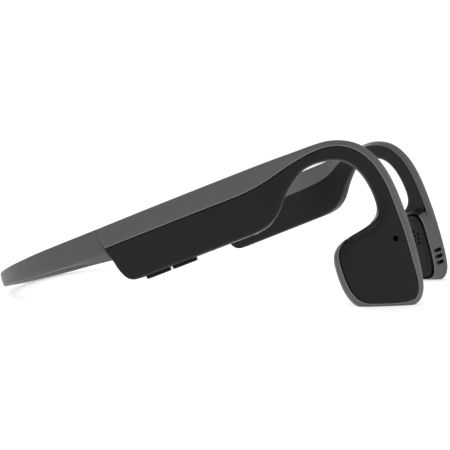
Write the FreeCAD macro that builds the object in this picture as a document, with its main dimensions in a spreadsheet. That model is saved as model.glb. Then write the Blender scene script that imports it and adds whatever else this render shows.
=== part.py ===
import FreeCAD, Part
import os, math

V = FreeCAD.Vector
Placement = FreeCAD.Placement
Rotation = FreeCAD.Rotation

doc = FreeCAD.newDocument("bone_conduction_headphones")

# ---------------------------------------------------------------- dimensions
DIMS = [
    # resting attitude: the neckband plane leans back by this angle
    ("lean_deg", 21.28), ("lift_z", 3.173), ("shift_x", -67.87),
    # plan of the outer surface, tangent arcs from the rear centre forward
    ("rear_rad", 105.0), ("rear_ang", 17.5), ("corner_rad", 32.0), ("corner_ang", 72.5),
    ("side_rad", 218.0), ("side_ang", 16.3), ("toe_rad", 38.0), ("toe_ang", 13.3),
    # neckband sleeve
    ("sleeve_thick", 3.0), ("sleeve_rear_high", 3.6), ("flex_at", 50.0), ("flex_gap", 0.1), ("foot_cut", 0.0),
    ("wire_rad", 0.45), ("cable_rad", 0.4),
    # housing bay and ear hook
    ("bay_high", 17.5), ("bay_thick", 10.5), ("cap_high", 6.3), ("wall", 1.4),
    ("hook_thick", 4.5), ("hook_layer", 1.8), ("hook_inner_layer", 3.5),
    # transducer
    ("head_thick", 6.8), ("face_thick", 1.6), ("head_wall", 1.5), ("pad_open_inset", 2.0),
    ("pad_scale", 0.9), ("pad_proud", 1.0), ("pad_thick", 1.5), ("carrier_thick", 0.5),
    ("head_s", 160.2), ("head_n", -38.2),
    ("yoke_rad", 7.0), ("yoke_thick", 2.0), ("yoke_floor", 0.5), ("yoke_start", 3.3),
    ("coil_in", 4.8), ("coil_out", 5.5), ("coil_long", 2.0), ("magnet_rad", 4.3), ("magnet_thick", 1.3),
    ("groove_out", 5.9), ("spring_thick", 0.2), ("spring_in", 6.2), ("spring_out", 8.7),
    # volume buttons
    ("vol_long", 7.2), ("vol_wide", 3.4), ("vol_proud", 1.0), ("vol_gap", 0.15), ("vol_flange", 0.6),
    ("vol_travel", 0.3), ("vol_up_s", 108.4), ("vol_down_s", 100.1), ("bay_mid_depth", 5.0),
    # multifunction button
    ("mfb_long", 10.0), ("mfb_wide", 4.6), ("mfb_proud", 0.4), ("mfb_flange", 0.35), ("mfb_s", 160.6), ("mfb_n", -37.5),
    # charging port and cover
    ("port_s", 123.5), ("port_long", 7.6), ("port_wide", 2.9), ("port_deep", 5.0),
    ("lid_long", 11.0), ("lid_wide", 5.4), ("lid_thick", 0.9), ("lid_hinge_s", 118.0), ("lid_gap", 0.15),
    # electronics
    ("board_long", 36.0), ("board_high", 9.6), ("board_thick", 0.8), ("board_s", 112.5), ("board_n", -9.3),
    ("shield_long", 13.0), ("shield_high", 8.0), ("shield_thick", 1.3),
    ("battery_long", 29.5), ("battery_high", 9.8), ("battery_thick", 4.6), ("battery_s", 109.5), ("battery_n", -10.0),
    ("guard_long", 5.0), ("guard_high", 8.0), ("guard_thick", 0.8), ("guard_s", 129.0),
    ("screw_rad", 0.6), ("screw_head_rad", 1.1), ("boss_rad", 1.5),
    ("mic_hole_rad", 0.6), ("mic_s", 167.1), ("mic_n", -32.4), ("mic_long", 3.0), ("mic_high", 2.4), ("mic_thick", 1.0),
    ("mesh_rad", 1.05), ("mesh_thick", 0.3),
    ("switch_long", 4.6), ("switch_wide", 2.2), ("switch_high", 1.7),
    ("lamp_rad", 0.6), ("lamp_s", 130.5),
]
sheet = doc.addObject("Spreadsheet::Sheet", "dims")
for i, (name, val) in enumerate(DIMS, 1):
    sheet.set("A%d" % i, name)
    sheet.set("B%d" % i, str(val))
    sheet.setAlias("B%d" % i, name)
doc.recompute()


def D(name):
    return float(sheet.get(name))


# ---------------------------------------------------------------- plan curve
def build_chain():
    x, w, th, s = 0.0, 0.0, math.pi / 2, 0.0
    segs = []
    for r, a in (("rear_rad", "rear_ang"), ("corner_rad", "corner_ang"), ("side_rad", "side_ang"), ("toe_rad", "toe_ang")):
        r, a = D(r), math.radians(D(a))
        cx, cw = x + r * math.sin(th), w - r * math.cos(th)
        segs.append((s, s + r * a, r, cx, cw, th))
        th -= a
        x, w, s = cx - r * math.sin(th), cw + r * math.cos(th), s + r * a
    return segs, (s, x, w, th)


CHAIN, TAIL = build_chain()
TOE = TAIL[3]                       # heading of the straight front part, negative = toed in


def plan_at(s):
    for s0, s1, r, cx, cw, th in CHAIN:
        if s <= s1:
            t = th - (s - s0) / r
            return cx - r * math.sin(t), cw + r * math.cos(t), t
    s0, x, w, t = TAIL
    return x + (s - s0) * math.cos(t), w + (s - s0) * math.sin(t), t


def pt(side, s, depth, n):
    """Point at developed length s, depth inward from the outer surface, height n. side -1 right, +1 left."""
    if s < 0:
        s, side = -s, -side
    x, w, t = plan_at(s)
    return V(x + math.sin(t) * depth, side * (w - math.cos(t) * depth), n)


LEAN = Placement(V(D("shift_x"), 0, D("lift_z")), Rotation(V(0, 1, 0), -D("lean_deg")))


def spot(side, s, depth, n, roll=0.0):
    """Placement whose x runs forward along the arm, z up the arm, y across it (inward on the right)."""
    x, w, t = plan_at(s)
    p = Placement(pt(side, s, depth, n), Rotation(V(0, 0, 1), math.degrees(side * t)))
    if roll:
        p = p.multiply(Placement(V(0, 0, 0), Rotation(V(0, 1, 0), roll)))
    return LEAN.multiply(p)


def lay(t, pairs):
    """Linear table lookup."""
    if t <= pairs[0][0]:
        return pairs[0][1]
    for (a, va), (b, vb) in zip(pairs, pairs[1:]):
        if t <= b:
            return va + (vb - va) * (t - a) / (b - a)
    return pairs[-1][1]


# ---------------------------------------------------------------- profiles (s, n)
BAY_HIGH = D("bay_high")
TOP_RUN = [(155.0, 0.0), (158.5, -0.2), (162.2, -1.1), (166.4, -3.3), (169.3, -6.4), (171.3, -10.3), (172.4, -14.5), (172.9, -19.0), (173.0, -24.5), (172.8, -29.8), (172.3, -35.4), (171.5, -41.3), (170.6, -45.7), (169.6, -48.5), (168.1, -50.4), (166.0, -51.3), (162.1, -50.9), (156.0, -49.0), (151.8, -47.2), (149.8, -45.2), (148.6, -42.3), (148.2, -38.7), (148.4, -34.4), (149.1, -31.3), (150.6, -29.3), (153.1, -28.0), (156.6, -27.2), (160.5, -26.5), (163.7, -25.3), (165.6, -23.3), (166.2, -20.4), (166.0, -16.4), (165.2, -12.6), (163.7, -9.5), (161.4, -7.2), (158.5, -5.9), (155.4, -5.35), (152.4, -5.3), (149.5, -5.8)]
TOP_INSET = [2.0] * 9 + [2.4] * 3 + [2.2, 2.0, 1.5, 1.2, 1.1, 1.1, 1.1, 1.2, 1.3, 1.3, 1.2, 1.1, 1.0, 0.9, 0.8] + [0.7] * 12
HEAD_RUN = [(150.6, -29.3), (153.1, -28.0), (156.6, -27.2), (160.5, -26.6), (164.6, -26.0), (168.6, -25.9), (171.4, -27.6), (172.5, -31.2), (172.3, -35.4), (171.5, -41.3), (170.6, -45.7), (169.6, -48.5), (168.1, -50.4), (166.0, -51.3), (162.1, -50.9), (156.0, -49.0), (151.8, -47.2), (149.8, -45.2), (148.6, -42.3), (148.2, -38.7), (148.4, -34.4), (149.1, -31.3)]
# how far the head's wall leans in towards its inner face at each outline point; only its rear side leans
HEAD_REAR = [0.7, 0.4, 0.1] + [0.0] * 13 + [0.3, 0.6, 0.9, 1.0, 1.0, 0.9]
BAY_FRONT = [(150.5, -5.4), (147.6, -6.8), (144.9, -8.6), (142.3, -10.8), (140.4, -12.8), (138.6, -14.6), (136.4, -16.1), (133.8, -17.1), (130.5, -17.5)]
BAY_REAR = [(94.4, -17.5), (92.9, -17.1), (91.6, -15.9), (90.6, -13.4), (89.8, -9.7), (89.1, -6.3), (88.1, -3.2), (87.4, 0.4)]
DARK_TOP = [(84.0, -6.3), (128.0, -6.3), (133.0, -6.2), (138.0, -5.4), (142.4, -4.2), (147.0, -2.9), (151.0, -2.1)]
HOOK_DARK = [(151.0, -2.1), (155.0, -1.9), (159.0, -2.3), (162.3, -3.4), (165.3, -5.6), (167.7, -8.9), (169.1, -12.6), (169.9, -17.0), (170.1, -21.5), (170.0, -27.2), (169.8, -33.0), (169.1, -40.1), (168.6, -45.0), (167.6, -48.0), (166.1, -49.5), (163.5, -49.7), (156.0, -47.4), (152.4, -45.8), (150.9, -44.1), (149.9, -41.5), (149.6, -38.7), (149.8, -34.6), (150.4, -32.0), (151.6, -30.3), (153.6, -29.2), (156.9, -28.4), (160.8, -27.6), (163.2, -26.9)]
# the inner cover reaches nearer the outline
HOOK_DARK_IN = [(151.0, -2.1), (154.6, -1.5), (158.6, -1.45), (162.0, -2.25), (165.7, -4.1), (168.4, -7.0), (170.3, -10.8), (171.3, -14.8), (171.8, -19.1), (171.9, -24.4)]
HOOK_VOID = [(163.6, -24.6), (163.9, -20.5), (163.5, -15.5), (161.5, -11.0), (157.5, -8.2), (151.0, -7.6)]


def inset(pts, dist, closed):
    """Move each outline point along its mean inward normal (outline runs clockwise, s right, n up)."""
    out = []
    k = len(pts)
    for i, p in enumerate(pts):
        a = pts[(i - 1) % k] if (closed or i) else p
        b = pts[(i + 1) % k] if (closed or i < k - 1) else p
        dx, dy = b[0] - a[0], b[1] - a[1]
        m = math.hypot(dx, dy)
        d = dist[i] if isinstance(dist, list) else dist
        out.append((p[0] + dy / m * d, p[1] - dx / m * d))
    return out


def curve(points, periodic=False):
    c = Part.BSplineCurve()
    c.interpolate(Points=points, PeriodicFlag=periodic)
    return c.toShape()


def front_wire(side, run, depth, tail):
    """Outline of the straight front part at one depth: spline run, then straight back through the tail points."""
    pts = [pt(side, s, depth, n) for s, n in run]
    e = [curve(pts)]
    t = [pts[-1]] + [pt(side, s, depth, n) for s, n in tail] + [pts[0]]
    e += [Part.LineSegment(a, b).toShape() for a, b in zip(t, t[1:])]
    return Part.Wire(e)


def closed_wire(side, run, depth):
    return Part.Wire([curve([pt(side, s, depth, n) for s, n in run], True)])


def prism(wire, vec):
    return Part.Face(wire).extrude(vec)


def across(side, s, length):
    t = plan_at(s)[2]
    return V(math.sin(t) * length, -side * math.cos(t) * length, 0)


def slab(side, table, s_from, s_to, outward, low=-60.0, high=8.0):
    """Everything on one side of the surface depth = table(s), between two heights."""
    ss = [s_from + (s_to - s_from) * i / 40.0 for i in range(41)]
    line = [pt(side, s, lay(s, table), low) for s in ss]
    far = -14.0 if outward else 22.0
    a, b = pt(side, s_to, far, low), pt(side, s_from, far, low)
    mid = [pt(side, s, far, low) for s in (150.0, 135.0, 120.0, 105.0)]
    e = [curve(line)]
    q = [line[-1], a] + mid + [b, line[0]]
    e += [Part.LineSegment(c, d).toShape() for c, d in zip(q, q[1:])]
    return Part.Face(Part.Wire(e)).extrude(V(0, 0, high - low))


def hexa(s, shrink=0.0):
    """Bay section: (depth, height) corners, cap slants above the widest line."""
    edge = lay(s, [(132, -D("cap_high")), (138, -5.4), (142.4, -4.2), (147, -2.9), (153, -2.0)])
    thick = lay(s, [(126, D("bay_thick")), (132, D("bay_thick") - 0.9), (140, 6.8), (148, D("hook_thick")), (160, D("hook_thick"))])
    p0 = lay(s, [(130, 3.2), (148, 2.0)])
    p1 = lay(s, [(126, 6.6), (148, 3.2)])
    taper = lay(s, [(130, 1.15), (142, 0.0)])
    low = -20.0
    k = shrink
    return [(p0 + k * 0.55, -k), (p1 - k * 0.55, -k), (thick - k, edge - k * 0.45), (thick - taper - k, low), (taper + k, low), (k, edge - k * 0.45)]


def bay_loft(side, s_from, s_to, shrink=0.0):
    n = 9
    wires = []
    for i in range(n + 1):
        s = s_from + (s_to - s_from) * i / n
        q = [pt(side, s, a, b) for a, b in hexa(s, shrink)]
        wires.append(Part.makePolygon(q + [q[0]]))
    return Part.makeLoft(wires, True, False)


def tangent_wire(points):
    """Straight runs joined by tangent arcs."""
    edges, last = [], points[0]
    for i in range(1, len(points) - 1):
        a, b, c = points[i - 1], points[i], points[i + 1]
        u, v = (a - b), (c - b)
        lu, lv = u.Length, v.Length
        u.normalize(); v.normalize()
        turn = math.pi - u.getAngle(v)
        if turn < 1e-3:
            continue
        run = 0.45 * min(lu, lv)
        r = run / math.tan(turn / 2)
        p, q = b + u * run, b + v * run
        bis = (u + v); bis.normalize()
        centre = b + bis * math.sqrt(r * r + run * run)
        mid = centre - bis * r
        if (p - last).Length > 1e-6:
            edges.append(Part.LineSegment(last, p).toShape())
        edges.append(Part.Arc(p, mid, q).toShape())
        last = q
    edges.append(Part.LineSegment(last, points[-1]).toShape())
    return Part.Wire(edges)


def tube(points, r):
    w = tangent_wire(points)
    d = points[1] - points[0]
    c = Part.Wire([Part.Circle(points[0], d, r).toShape()])
    s = w.makePipeShell([c], True, True)
    return s if s.ShapeType == "Solid" else Part.Solid(s)


def one(shape):
    """Largest solid of a boolean result."""
    sol = sorted(shape.Solids, key=lambda k: -k.Volume)
    return sol[0]


NODES = []


def feature(label, shape):
    f = doc.addObject("Part::Feature", label)
    f.Label = label
    f.Shape = shape
    f.Placement = LEAN.multiply(shape.Placement)
    NODES.append(f)
    return f


# ---------------------------------------------------------------- PartDesign helpers
def origin_plane(body, role):
    return [f for f in body.Origin.OriginFeatures if f.Role == role][0]


def new_sketch(body, name, role):
    sk = body.newObject("Sketcher::SketchObject", name)
    sk.AttachmentSupport = [(origin_plane(body, role), "")]
    sk.MapMode = "FlatFace"
    return sk


def rect(sk, wide, high, x0="0", y0="0"):
    """Rectangle centred on (x0, y0) with sizes bound to sheet expressions."""
    import Sketcher
    i = sk.GeometryCount
    w, h, a, b = 4.0, 3.0, 0.0, 0.0
    P = [V(a - w, b - h, 0), V(a + w, b - h, 0), V(a + w, b + h, 0), V(a - w, b + h, 0)]
    for k in range(4):
        sk.addGeometry(Part.LineSegment(P[k], P[(k + 1) % 4]), False)
    for k in range(4):
        sk.addConstraint(Sketcher.Constraint("Coincident", i + k, 2, i + (k + 1) % 4, 1))
    sk.addConstraint(Sketcher.Constraint("Horizontal", i))
    sk.addConstraint(Sketcher.Constraint("Horizontal", i + 2))
    sk.addConstraint(Sketcher.Constraint("Vertical", i + 1))
    sk.addConstraint(Sketcher.Constraint("Vertical", i + 3))
    for kind, g, pos, expr, val in (("DistanceX", i, 0, wide, 8.0), ("DistanceY", i + 1, 0, high, 6.0)):
        c = sk.addConstraint(Sketcher.Constraint(kind, g, 1, g, 2, val))
        nm = "d%d" % c
        sk.renameConstraint(c, nm)
        sk.setExpression("Constraints." + nm, expr)
    for kind, expr, val, half in (("DistanceX", x0, -4.0, wide), ("DistanceY", y0, -3.0, high)):
        c = sk.addConstraint(Sketcher.Constraint(kind, -1, 1, i, 1, val))
        nm = "d%d" % c
        sk.renameConstraint(c, nm)
        sk.setExpression("Constraints." + nm, "(%s) - (%s) / 2" % (expr, half))


def circle(sk, radius, x0="0", y0="0"):
    import Sketcher
    i = sk.addGeometry(Part.Circle(V(1, 1, 0), V(0, 0, 1), 2.0), False)
    for kind, expr, args in (("Radius", radius, (i, 2.0)), ("DistanceX", x0, (-1, 1, i, 3, 1.0)), ("DistanceY", y0, (-1, 1, i, 3, 1.0))):
        c = sk.addConstraint(Sketcher.Constraint(kind, *args))
        nm = "d%d" % c
        sk.renameConstraint(c, nm)
        sk.setExpression("Constraints." + nm, expr)


def pad(body, sk, length, reverse=False, midplane=False, offset=None):
    p = body.newObject("PartDesign::Pad", "Pad")
    p.Profile = sk
    p.setExpression("Length", length)
    if midplane:
        if hasattr(p, "SideType"):
            p.SideType = "Symmetric"
        else:
            p.Midplane = True
    p.Reversed = reverse
    sk.Visibility = False
    return p


def pocket_all(body, sk):
    p = body.newObject("PartDesign::Pocket", "Pocket")
    p.Profile = sk
    p.Type = "ThroughAll"
    if hasattr(p, "SideType"):
        p.SideType = "Symmetric"
    else:
        p.Midplane = True
    return p


def round_edges(body, base, radius, pick):
    doc.recompute()
    names = ["Edge%d" % (i + 1) for i, e in enumerate(base.Shape.Edges) if pick(e)]
    f = body.newObject("PartDesign::Fillet", "Fillet")
    f.Base = (base, names)
    f.setExpression("Radius", radius)
    return f


def along(axis):
    def ok(e):
        if len(e.Vertexes) != 2:
            return False
        d = e.Vertexes[1].Point - e.Vertexes[0].Point
        return d.Length > 1e-6 and abs(abs(d.normalize().dot(axis)) - 1) < 1e-6
    return ok


def new_body(label, placement):
    b = doc.addObject("PartDesign::Body", label)
    b.Label = label
    b.Placement = placement
    NODES.append(b)
    return b


def block(label, placement, long_x, thick_y, high_z, corner=None, edge=None):
    """Plate in the local x-z plane, thickness along y, centred on the placement."""
    b = new_body(label, placement)
    sk = new_sketch(b, label + "_outline", "XZ_Plane")
    rect(sk, long_x, high_z)
    p = pad(b, sk, thick_y, midplane=True)
    last = p
    if corner:
        last = round_edges(b, p, corner, along(V(0, 1, 0)))
    b.Tip = last
    return b


# ================================================================ neckband
FLEX = D("flex_at")
ST = D("sleeve_thick")


def sleeve_section(s):
    """Eight-cornered section: flat strip at the rear flaring to the bay's cap shape at the seam."""
    a = abs(s)
    low = lay(a, [(0, D("sleeve_rear_high")), (30, 3.9), (51, 4.8), (60, 5.8), (67.6, 6.6), (74, 7.1), (79.5, 8.0), (88, 9.6), (91, 10.2)])
    crease = lay(a, [(0, 3.1), (30, 3.4), (51, 4.6), (60, 5.6), (67.6, 6.4), (74, 6.9), (88, 7.7), (91, 7.9)])
    th = lay(a, [(0, ST), (50, ST), (60, 3.7), (70, 5.4), (80, 8.4), (88, 10.3), (91, 10.5)])
    p0 = lay(a, [(0, 0.5), (50, 0.6), (70, 1.8), (88, 3.2)])
    p1 = lay(a, [(0, ST - 0.5), (50, ST - 0.6), (70, 3.8), (88, 6.6)])
    e = lay(a, [(0, 0.6), (50, 1.2), (88, 6.2)])
    lo = lay(a, [(0, 0.5), (50, 0.5), (88, 1.7)])
    rise = lay(a, [(0, 0.0), (46, 0.0), (56, 0.3), (84, 0.3), (91, 0.15)]) * (th - 2 * lo)
    return [(p0, 0.0), (p1, 0.0), (th, -e), (th, -max(e + 0.3, crease - rise)), (th - lo, -max(e + 0.5, low - rise)), (lo, -low), (0.0, -crease), (0.0, -e)]


def sleeve(side, s_list):
    wires = []
    for s in s_list:
        q = [pt(side, s, a, b) for a, b in sleeve_section(s)]
        wires.append(Part.makePolygon(q + [q[0]]))
    return Part.makeLoft(wires, True, False)


def knuckle(side, rad):
    """Upright cylinder about the flex axis."""
    p = pt(side, FLEX, ST / 2, -12.0)
    return Part.makeCylinder(rad, 20.0, p, V(0, 0, 1))


def half_space(side, forward):
    """Large box on the front (or rear) side of the plane across the sleeve at the flex axis."""
    x, w, t = plan_at(FLEX)
    b = Part.makeBox(60, 60, 40, V(0 if forward else -60, -30, -25))
    b.Placement = Placement(pt(side, FLEX, ST / 2, 0), Rotation(V(0, 0, 1), math.degrees(side * t)))
    return b


W_N = -1.35
C_N = -2.75


def wire_run(side, s_list, table_d, table_n):
    return [pt(side, s, lay(s, table_d), lay(s, table_n)) for s in s_list]


rear_list = [-FLEX, -44, -38, -32, -24, -12, 0, 12, 24, 32, 38, 44, FLEX]
rear = sleeve(1, [s for s in rear_list])
rear_wire = tube([pt(1, s, 1.5, W_N) for s in (-49.6, -43, -36, -29, -20, -10, 0, 10, 20, 29, 36, 43, 49.6)], D("wire_rad"))
rear_cable = tube([pt(1, s, 1.5, C_N) for s in (-49.6, -43, -36, -29, -20, -10, 0, 10, 20, 29, 36, 43, 49.6)], D("cable_rad"))
band_high = 30.0
for side in (-1, 1):
    # round the end of the rear strip about the flex axis
    tip = sleeve(side, [FLEX - 1.0, FLEX, FLEX + 2.4]).common(knuckle(side, ST / 2))
    rear = rear.fuse(tip)
rear = rear.removeSplitter().cut(rear_wire).cut(rear_cable)
feature("neckband_sleeve_rear", one(rear))
feature("neckband_spring_wire", rear_wire)
feature("neckband_cable", rear_cable)

WIRE_D = [(50, 1.5), (78, 1.9), (86, 3.0), (93, 4.6), (104, 4.9), (128, 4.8), (140, 3.7), (147, 2.75), (180, 2.75)]
WIRE_Z = [(50, W_N), (78, -2.6), (93, -3.1), (140, -3.1), (150, -2.75), (155, -2.7)]


def hook_wire_points(side):
    a = [pt(side, s, lay(s, WIRE_D), lay(s, WIRE_Z)) for s in (FLEX + 1.7, 58, 65, 72, 79, 86, 93, 101, 110, 119, 128, 136, 142, 148, 154)]
    b = [pt(side, s, 2.75, n) for s, n in ((159.0, -3.2), (163.3, -5.2), (166.6, -8.9), (168.6, -13.8), (169.5, -19.2), (169.6, -25.0))]
    return a + b


arms = {}
for side, name in ((-1, "right"), (1, "left")):
    # ------------------------------------------------ outer form of the arm
    wires = []
    tail = [(147.0, -6.2), (147.0, 0.0)]
    run0 = [(149.5, 0.0)] + TOP_RUN
    ins = [2.0] + TOP_INSET
    ins = ins[:len(run0)] + [0.7] * (len(run0) - len(ins))
    for depth, k in ((0.0, 1.0), (D("hook_layer"), 0.0), (D("hook_inner_layer"), 0.0), (D("hook_thick"), 0.45)):
        r = inset(run0, [q * k for q in ins], False)
        wires.append(front_wire(side, r, depth, [(147.0, r[-1][1]), (147.0, r[0][1])]))
    front = Part.makeLoft(wires, True, True)
    head = Part.makeLoft([closed_wire(side, inset(HEAD_RUN, [d + q * k for k in HEAD_REAR], True), z) for z, d, q in ((3.0, 0.35, 0.0), (D("head_thick") - 0.7, 1.15, 0.15), (D("head_thick"), 1.55, 0.1))], True, True)
    bay = bay_loft(side, 85.0, 153.0)
    ref = 2.0
    bp = [pt(side, s, ref, n) for s, n in BAY_FRONT]
    br = [pt(side, s, ref, n) for s, n in BAY_REAR]
    topf = pt(side, 153.5, ref, 3.0)
    topf2 = pt(side, 153.5, ref, -5.3)
    edges = [curve(bp), Part.LineSegment(bp[-1], br[0]).toShape(), curve(br)]
    roof = [br[-1], V(br[-1].x, br[-1].y, 3.0), topf, topf2, bp[0]]
    edges += [Part.LineSegment(a, b).toShape() for a, b in zip(roof, roof[1:])]
    # the outline is not planar along the curved plan, so it is flattened on the mid-bay plane
    mid_s = 112.0
    x0, w0, t0 = plan_at(mid_s)
    nrm = V(math.sin(t0), -side * math.cos(t0), 0)
    base = pt(side, mid_s, ref, 0)

    def flat(v, nrm=nrm, base=base):
        return v - nrm * ((v - base).dot(nrm))

    bp, br = [flat(v) for v in bp], [flat(v) for v in br]
    roof = [flat(v) for v in roof]
    edges = [curve(bp), Part.LineSegment(bp[-1], br[0]).toShape(), curve(br)]
    edges += [Part.LineSegment(a, b).toShape() for a, b in zip(roof, roof[1:])]
    w = Part.Wire(Part.__sortEdges__(edges))
    bay_prism = Part.Face(w)
    bay_prism.translate(nrm * -25.0)
    bay_prism = bay_prism.extrude(nrm * 55.0)
    bay = bay.common(bay_prism)
    form = front.fuse([head, bay])
    form = one(form.removeSplitter())

    # ------------------------------------------------ hollows
    cav_line = [(93.4, -1.6), (143.5, -1.6), (141.0, -8.4), (138.0, -11.9), (135.0, -14.4), (132.5, -15.7), (130.0, -16.1), (94.3, -16.1), (93.4, -14.5)]
    cl = [flat(pt(side, s, ref, n)) for s, n in cav_line]
    cav = Part.Face(Part.makePolygon(cl + [cl[0]]))
    cav.translate(nrm * -25.0)
    bay_cav = bay_loft(side, 91.0, 145.0, D("wall")).common(cav.extrude(nrm * 55.0))
    hw = D("head_wall")
    hr = inset(HEAD_RUN, hw + 0.4, True)
    head_cav = prism(closed_wire(side, hr, D("face_thick")), across(side, 160, D("head_thick") - 1.3 - D("face_thick")))
    pad_hole = prism(closed_wire(side, inset(HEAD_RUN, D("pad_open_inset"), True), D("head_thick") - 1.6), across(side, 160, 4.0))
    wire_pts = hook_wire_points(side)
    wire = tube(wire_pts, D("wire_rad"))
    shell = form.cut([bay_cav, head_cav, pad_hole, wire])
    if name == "right":
        lead = tube([pt(side, s, d, n) for s, d, n in ((FLEX + 1.7, 1.5, C_N), (58, 1.55, -3.1), (66, 1.7, -3.9), (74, 2.2, -4.7), (82, 3.2, -5.4), (88, 4.4, -5.8), (93.0, 4.9, -6.0))], D("cable_rad"))
    else:
        lead = tube([pt(side, s, d, n) for s, d, n in ((FLEX + 1.7, 1.5, C_N), (58, 1.55, -3.1), (66, 1.7, -3.6), (74, 2.2, -3.9), (82, 3.2, -4.2), (89, 4.3, -4.3), (93.2, 4.6, -4.3))], D("cable_rad"))
    shell = shell.cut(lead)
    arms[name] = dict(side=side, form=form, shell=shell, wire=wire, lead=lead, nrm=nrm, flat=flat, ref=ref, head_cav=head_cav)


# ---------------------------------------------------------------- splitting each arm into its shells
def inward(side, s, depth, n):
    """Placement whose x runs forward along the arm and z points inward, through the arm."""
    return spot(side, s, depth, n).multiply(Placement(V(0, 0, 0), Rotation(V(1, 0, 0), 90.0 * side)))


UNLEAN = LEAN.inverse()


def ubox(side, s, depth, n, long_x, deep_y, high_z, corner=0.0):
    """Block centred at a developed point, x along the arm, y through it, z up it."""
    b = Part.makeBox(long_x, deep_y, high_z, V(-long_x / 2, -deep_y / 2, -high_z / 2))
    if corner:
        b = b.makeFillet(corner, [e for e in b.Edges if along(V(0, 0, 1))(e)])
    b.Placement = UNLEAN.multiply(spot(side, s, depth, n))
    return b


def ucyl(side, s, depth, n, radius, length):
    """Cylinder whose axis points inward through the arm."""
    c = Part.makeCylinder(radius, length)
    c.Placement = UNLEAN.multiply(inward(side, s, depth, n))
    return c


def dark_bay(side, flat, nrm):
    top = [flat(pt(side, s, 0.0, n)) for s, n in DARK_TOP]
    low = [flat(pt(side, 151.0, 0.0, -24.0)), flat(pt(side, 84.0, 0.0, -24.0))]
    e = [curve(top)]
    q = [top[-1]] + low + [top[0]]
    e += [Part.LineSegment(a, b).toShape() for a, b in zip(q, q[1:])]
    f = Part.Face(Part.Wire(e))
    f.translate(nrm * -25.0)
    return f.extrude(nrm * 55.0)


def dark_front(side, run, void):
    a = [pt(side, s, -3.0, n) for s, n in run]
    e = [curve(a)]
    q = [a[-1]] + [pt(side, s, -3.0, n) for s, n in void] + [a[0]]
    e += [Part.LineSegment(c, d).toShape() for c, d in zip(q, q[1:])]
    return Part.Face(Part.Wire(e)).extrude(across(side, 160, 24.0))


VENTS = [(171.4, -41.7), (171.0, -43.7), (170.6, -45.7)]
floor = Part.makeBox(400, 200, 30, V(-200, -100, -30 + D("foot_cut")))
floor.Placement = UNLEAN

for name, a in arms.items():
    side, flat, nrm, shell = a["side"], a["flat"], a["nrm"], a["shell"]
    bay_part = dark_bay(side, flat, nrm)
    out_zone = bay_part.fuse(dark_front(side, HOOK_DARK, HOOK_VOID)).common(slab(side, [(136, 5.0), (148, 1.8), (180, 1.8)], 83.0, 176.0, True))
    in_zone = bay_part.fuse(dark_front(side, HOOK_DARK_IN, [(163.9, -24.6)] + HOOK_VOID[1:])).common(slab(side, [(136, 5.0), (148, D("hook_inner_layer")), (180, D("hook_inner_layer"))], 83.0, 176.0, False))
    out_zone, in_zone = one(out_zone), one(in_zone)
    outer = one(shell.common(out_zone))
    inner = one(shell.common(in_zone))
    spine = one(shell.cut(out_zone).cut(in_zone))
    for vs, v in VENTS:
        slot = ubox(side, vs - 0.8, 5.0, v, 4.0, 2.8, 1.1)
        slot = slot.makeFillet(0.5, [e for e in slot.Edges if abs(e.Length - 4.0) < 1e-6])
        spine = spine.cut(slot)
    spine = one(spine.cut(floor))
    outer = one(outer.cut(floor))
    if name == "right":
        for key in ("vol_up_s", "vol_down_s"):
            hole = ubox(side, D(key), D("bay_mid_depth"), -17.0, D("vol_long") + 2 * D("vol_gap"), D("vol_wide") + 2 * D("vol_gap"), 3.4, 0.9)
            outer, inner = outer.cut(hole), inner.cut(hole)
        g = D("lid_gap")
        half = D("lid_thick") / 2
        seat = Part.makeBox(D("lid_long") + half + 2 * g, D("lid_wide") + 2 * g, 4.0, V(-half - g, -D("lid_wide") / 2 - g, half + 0.05 - 4.0))
        seat.Placement = UNLEAN.multiply(spot(side, D("lid_hinge_s"), D("bay_mid_depth"), -BAY_HIGH + half))
        throat = ubox(side, D("port_s"), D("bay_mid_depth"), -15.6, D("port_long") + 0.1, D("port_wide") + 0.1, 3.0)
        lamp = ubox(side, D("lamp_s"), D("bay_mid_depth"), -16.2, 1.2, 1.2, 2.7)
        outer, inner = outer.cut([seat, throat, lamp]), inner.cut([seat, throat, lamp])
        feature("status_lamp_pipe", lamp)
        hole = ucyl(side, D("mic_s"), -1.0, D("mic_n"), D("mic_hole_rad"), 4.0)
        bore = ucyl(side, D("mic_s"), D("face_thick") - D("mesh_thick"), D("mic_n"), D("mesh_rad"), 1.0)
        outer = outer.cut([hole, bore])
        for dx in (-16.3, 13.0):
            b = Part.makeCylinder(D("boss_rad"), 9.0, V(dx, 0, D("board_thick")))
            b.Placement = UNLEAN.multiply(inward(side, D("board_s"), 4.8, -8.2))
            b = b.common(slab(side, [(80, 9.4), (140, 9.4)], 83.0, 156.0, True, -30.0, 5.0))
            c = Part.makeCylinder(D("screw_rad"), 3.6, V(dx, 0, 0))
            c.Placement = UNLEAN.multiply(inward(side, D("board_s"), 4.8, -8.2))
            inner = inner.fuse(b).cut(c)
    else:
        well = ubox(side, D("mfb_s"), 0.0, D("mfb_n"), D("mfb_wide") + 0.3, 6.0, D("mfb_long") + 0.3)
        well = well.makeFillet(2.2, [e for e in well.Edges if abs(e.Length - 6.0) < 1e-6])
        outer = outer.cut(well)
    a["outer"], a["inner"], a["spine"] = one(outer), one(inner), one(spine)
    feature(name + "_spine_frame", a["spine"])
    feature(name + "_outer_cover", a["outer"])
    feature(name + "_inner_cover", a["inner"])
    # neckband end between the flex axis and the bay
    end = sleeve(side, [FLEX, 54, 58, 62, 67.6, 74, 80, 85, 88, 91])
    end = end.cut(knuckle(side, ST / 2 + D("flex_gap"))).cut(a["form"])
    behind = one(end).cut([a["wire"], a["lead"]])
    feature(name + "_neckband_sleeve", one(behind))
    feature(name + "_spring_wire", a["wire"])
    feature(name + "_signal_cable", a["lead"])

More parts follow.
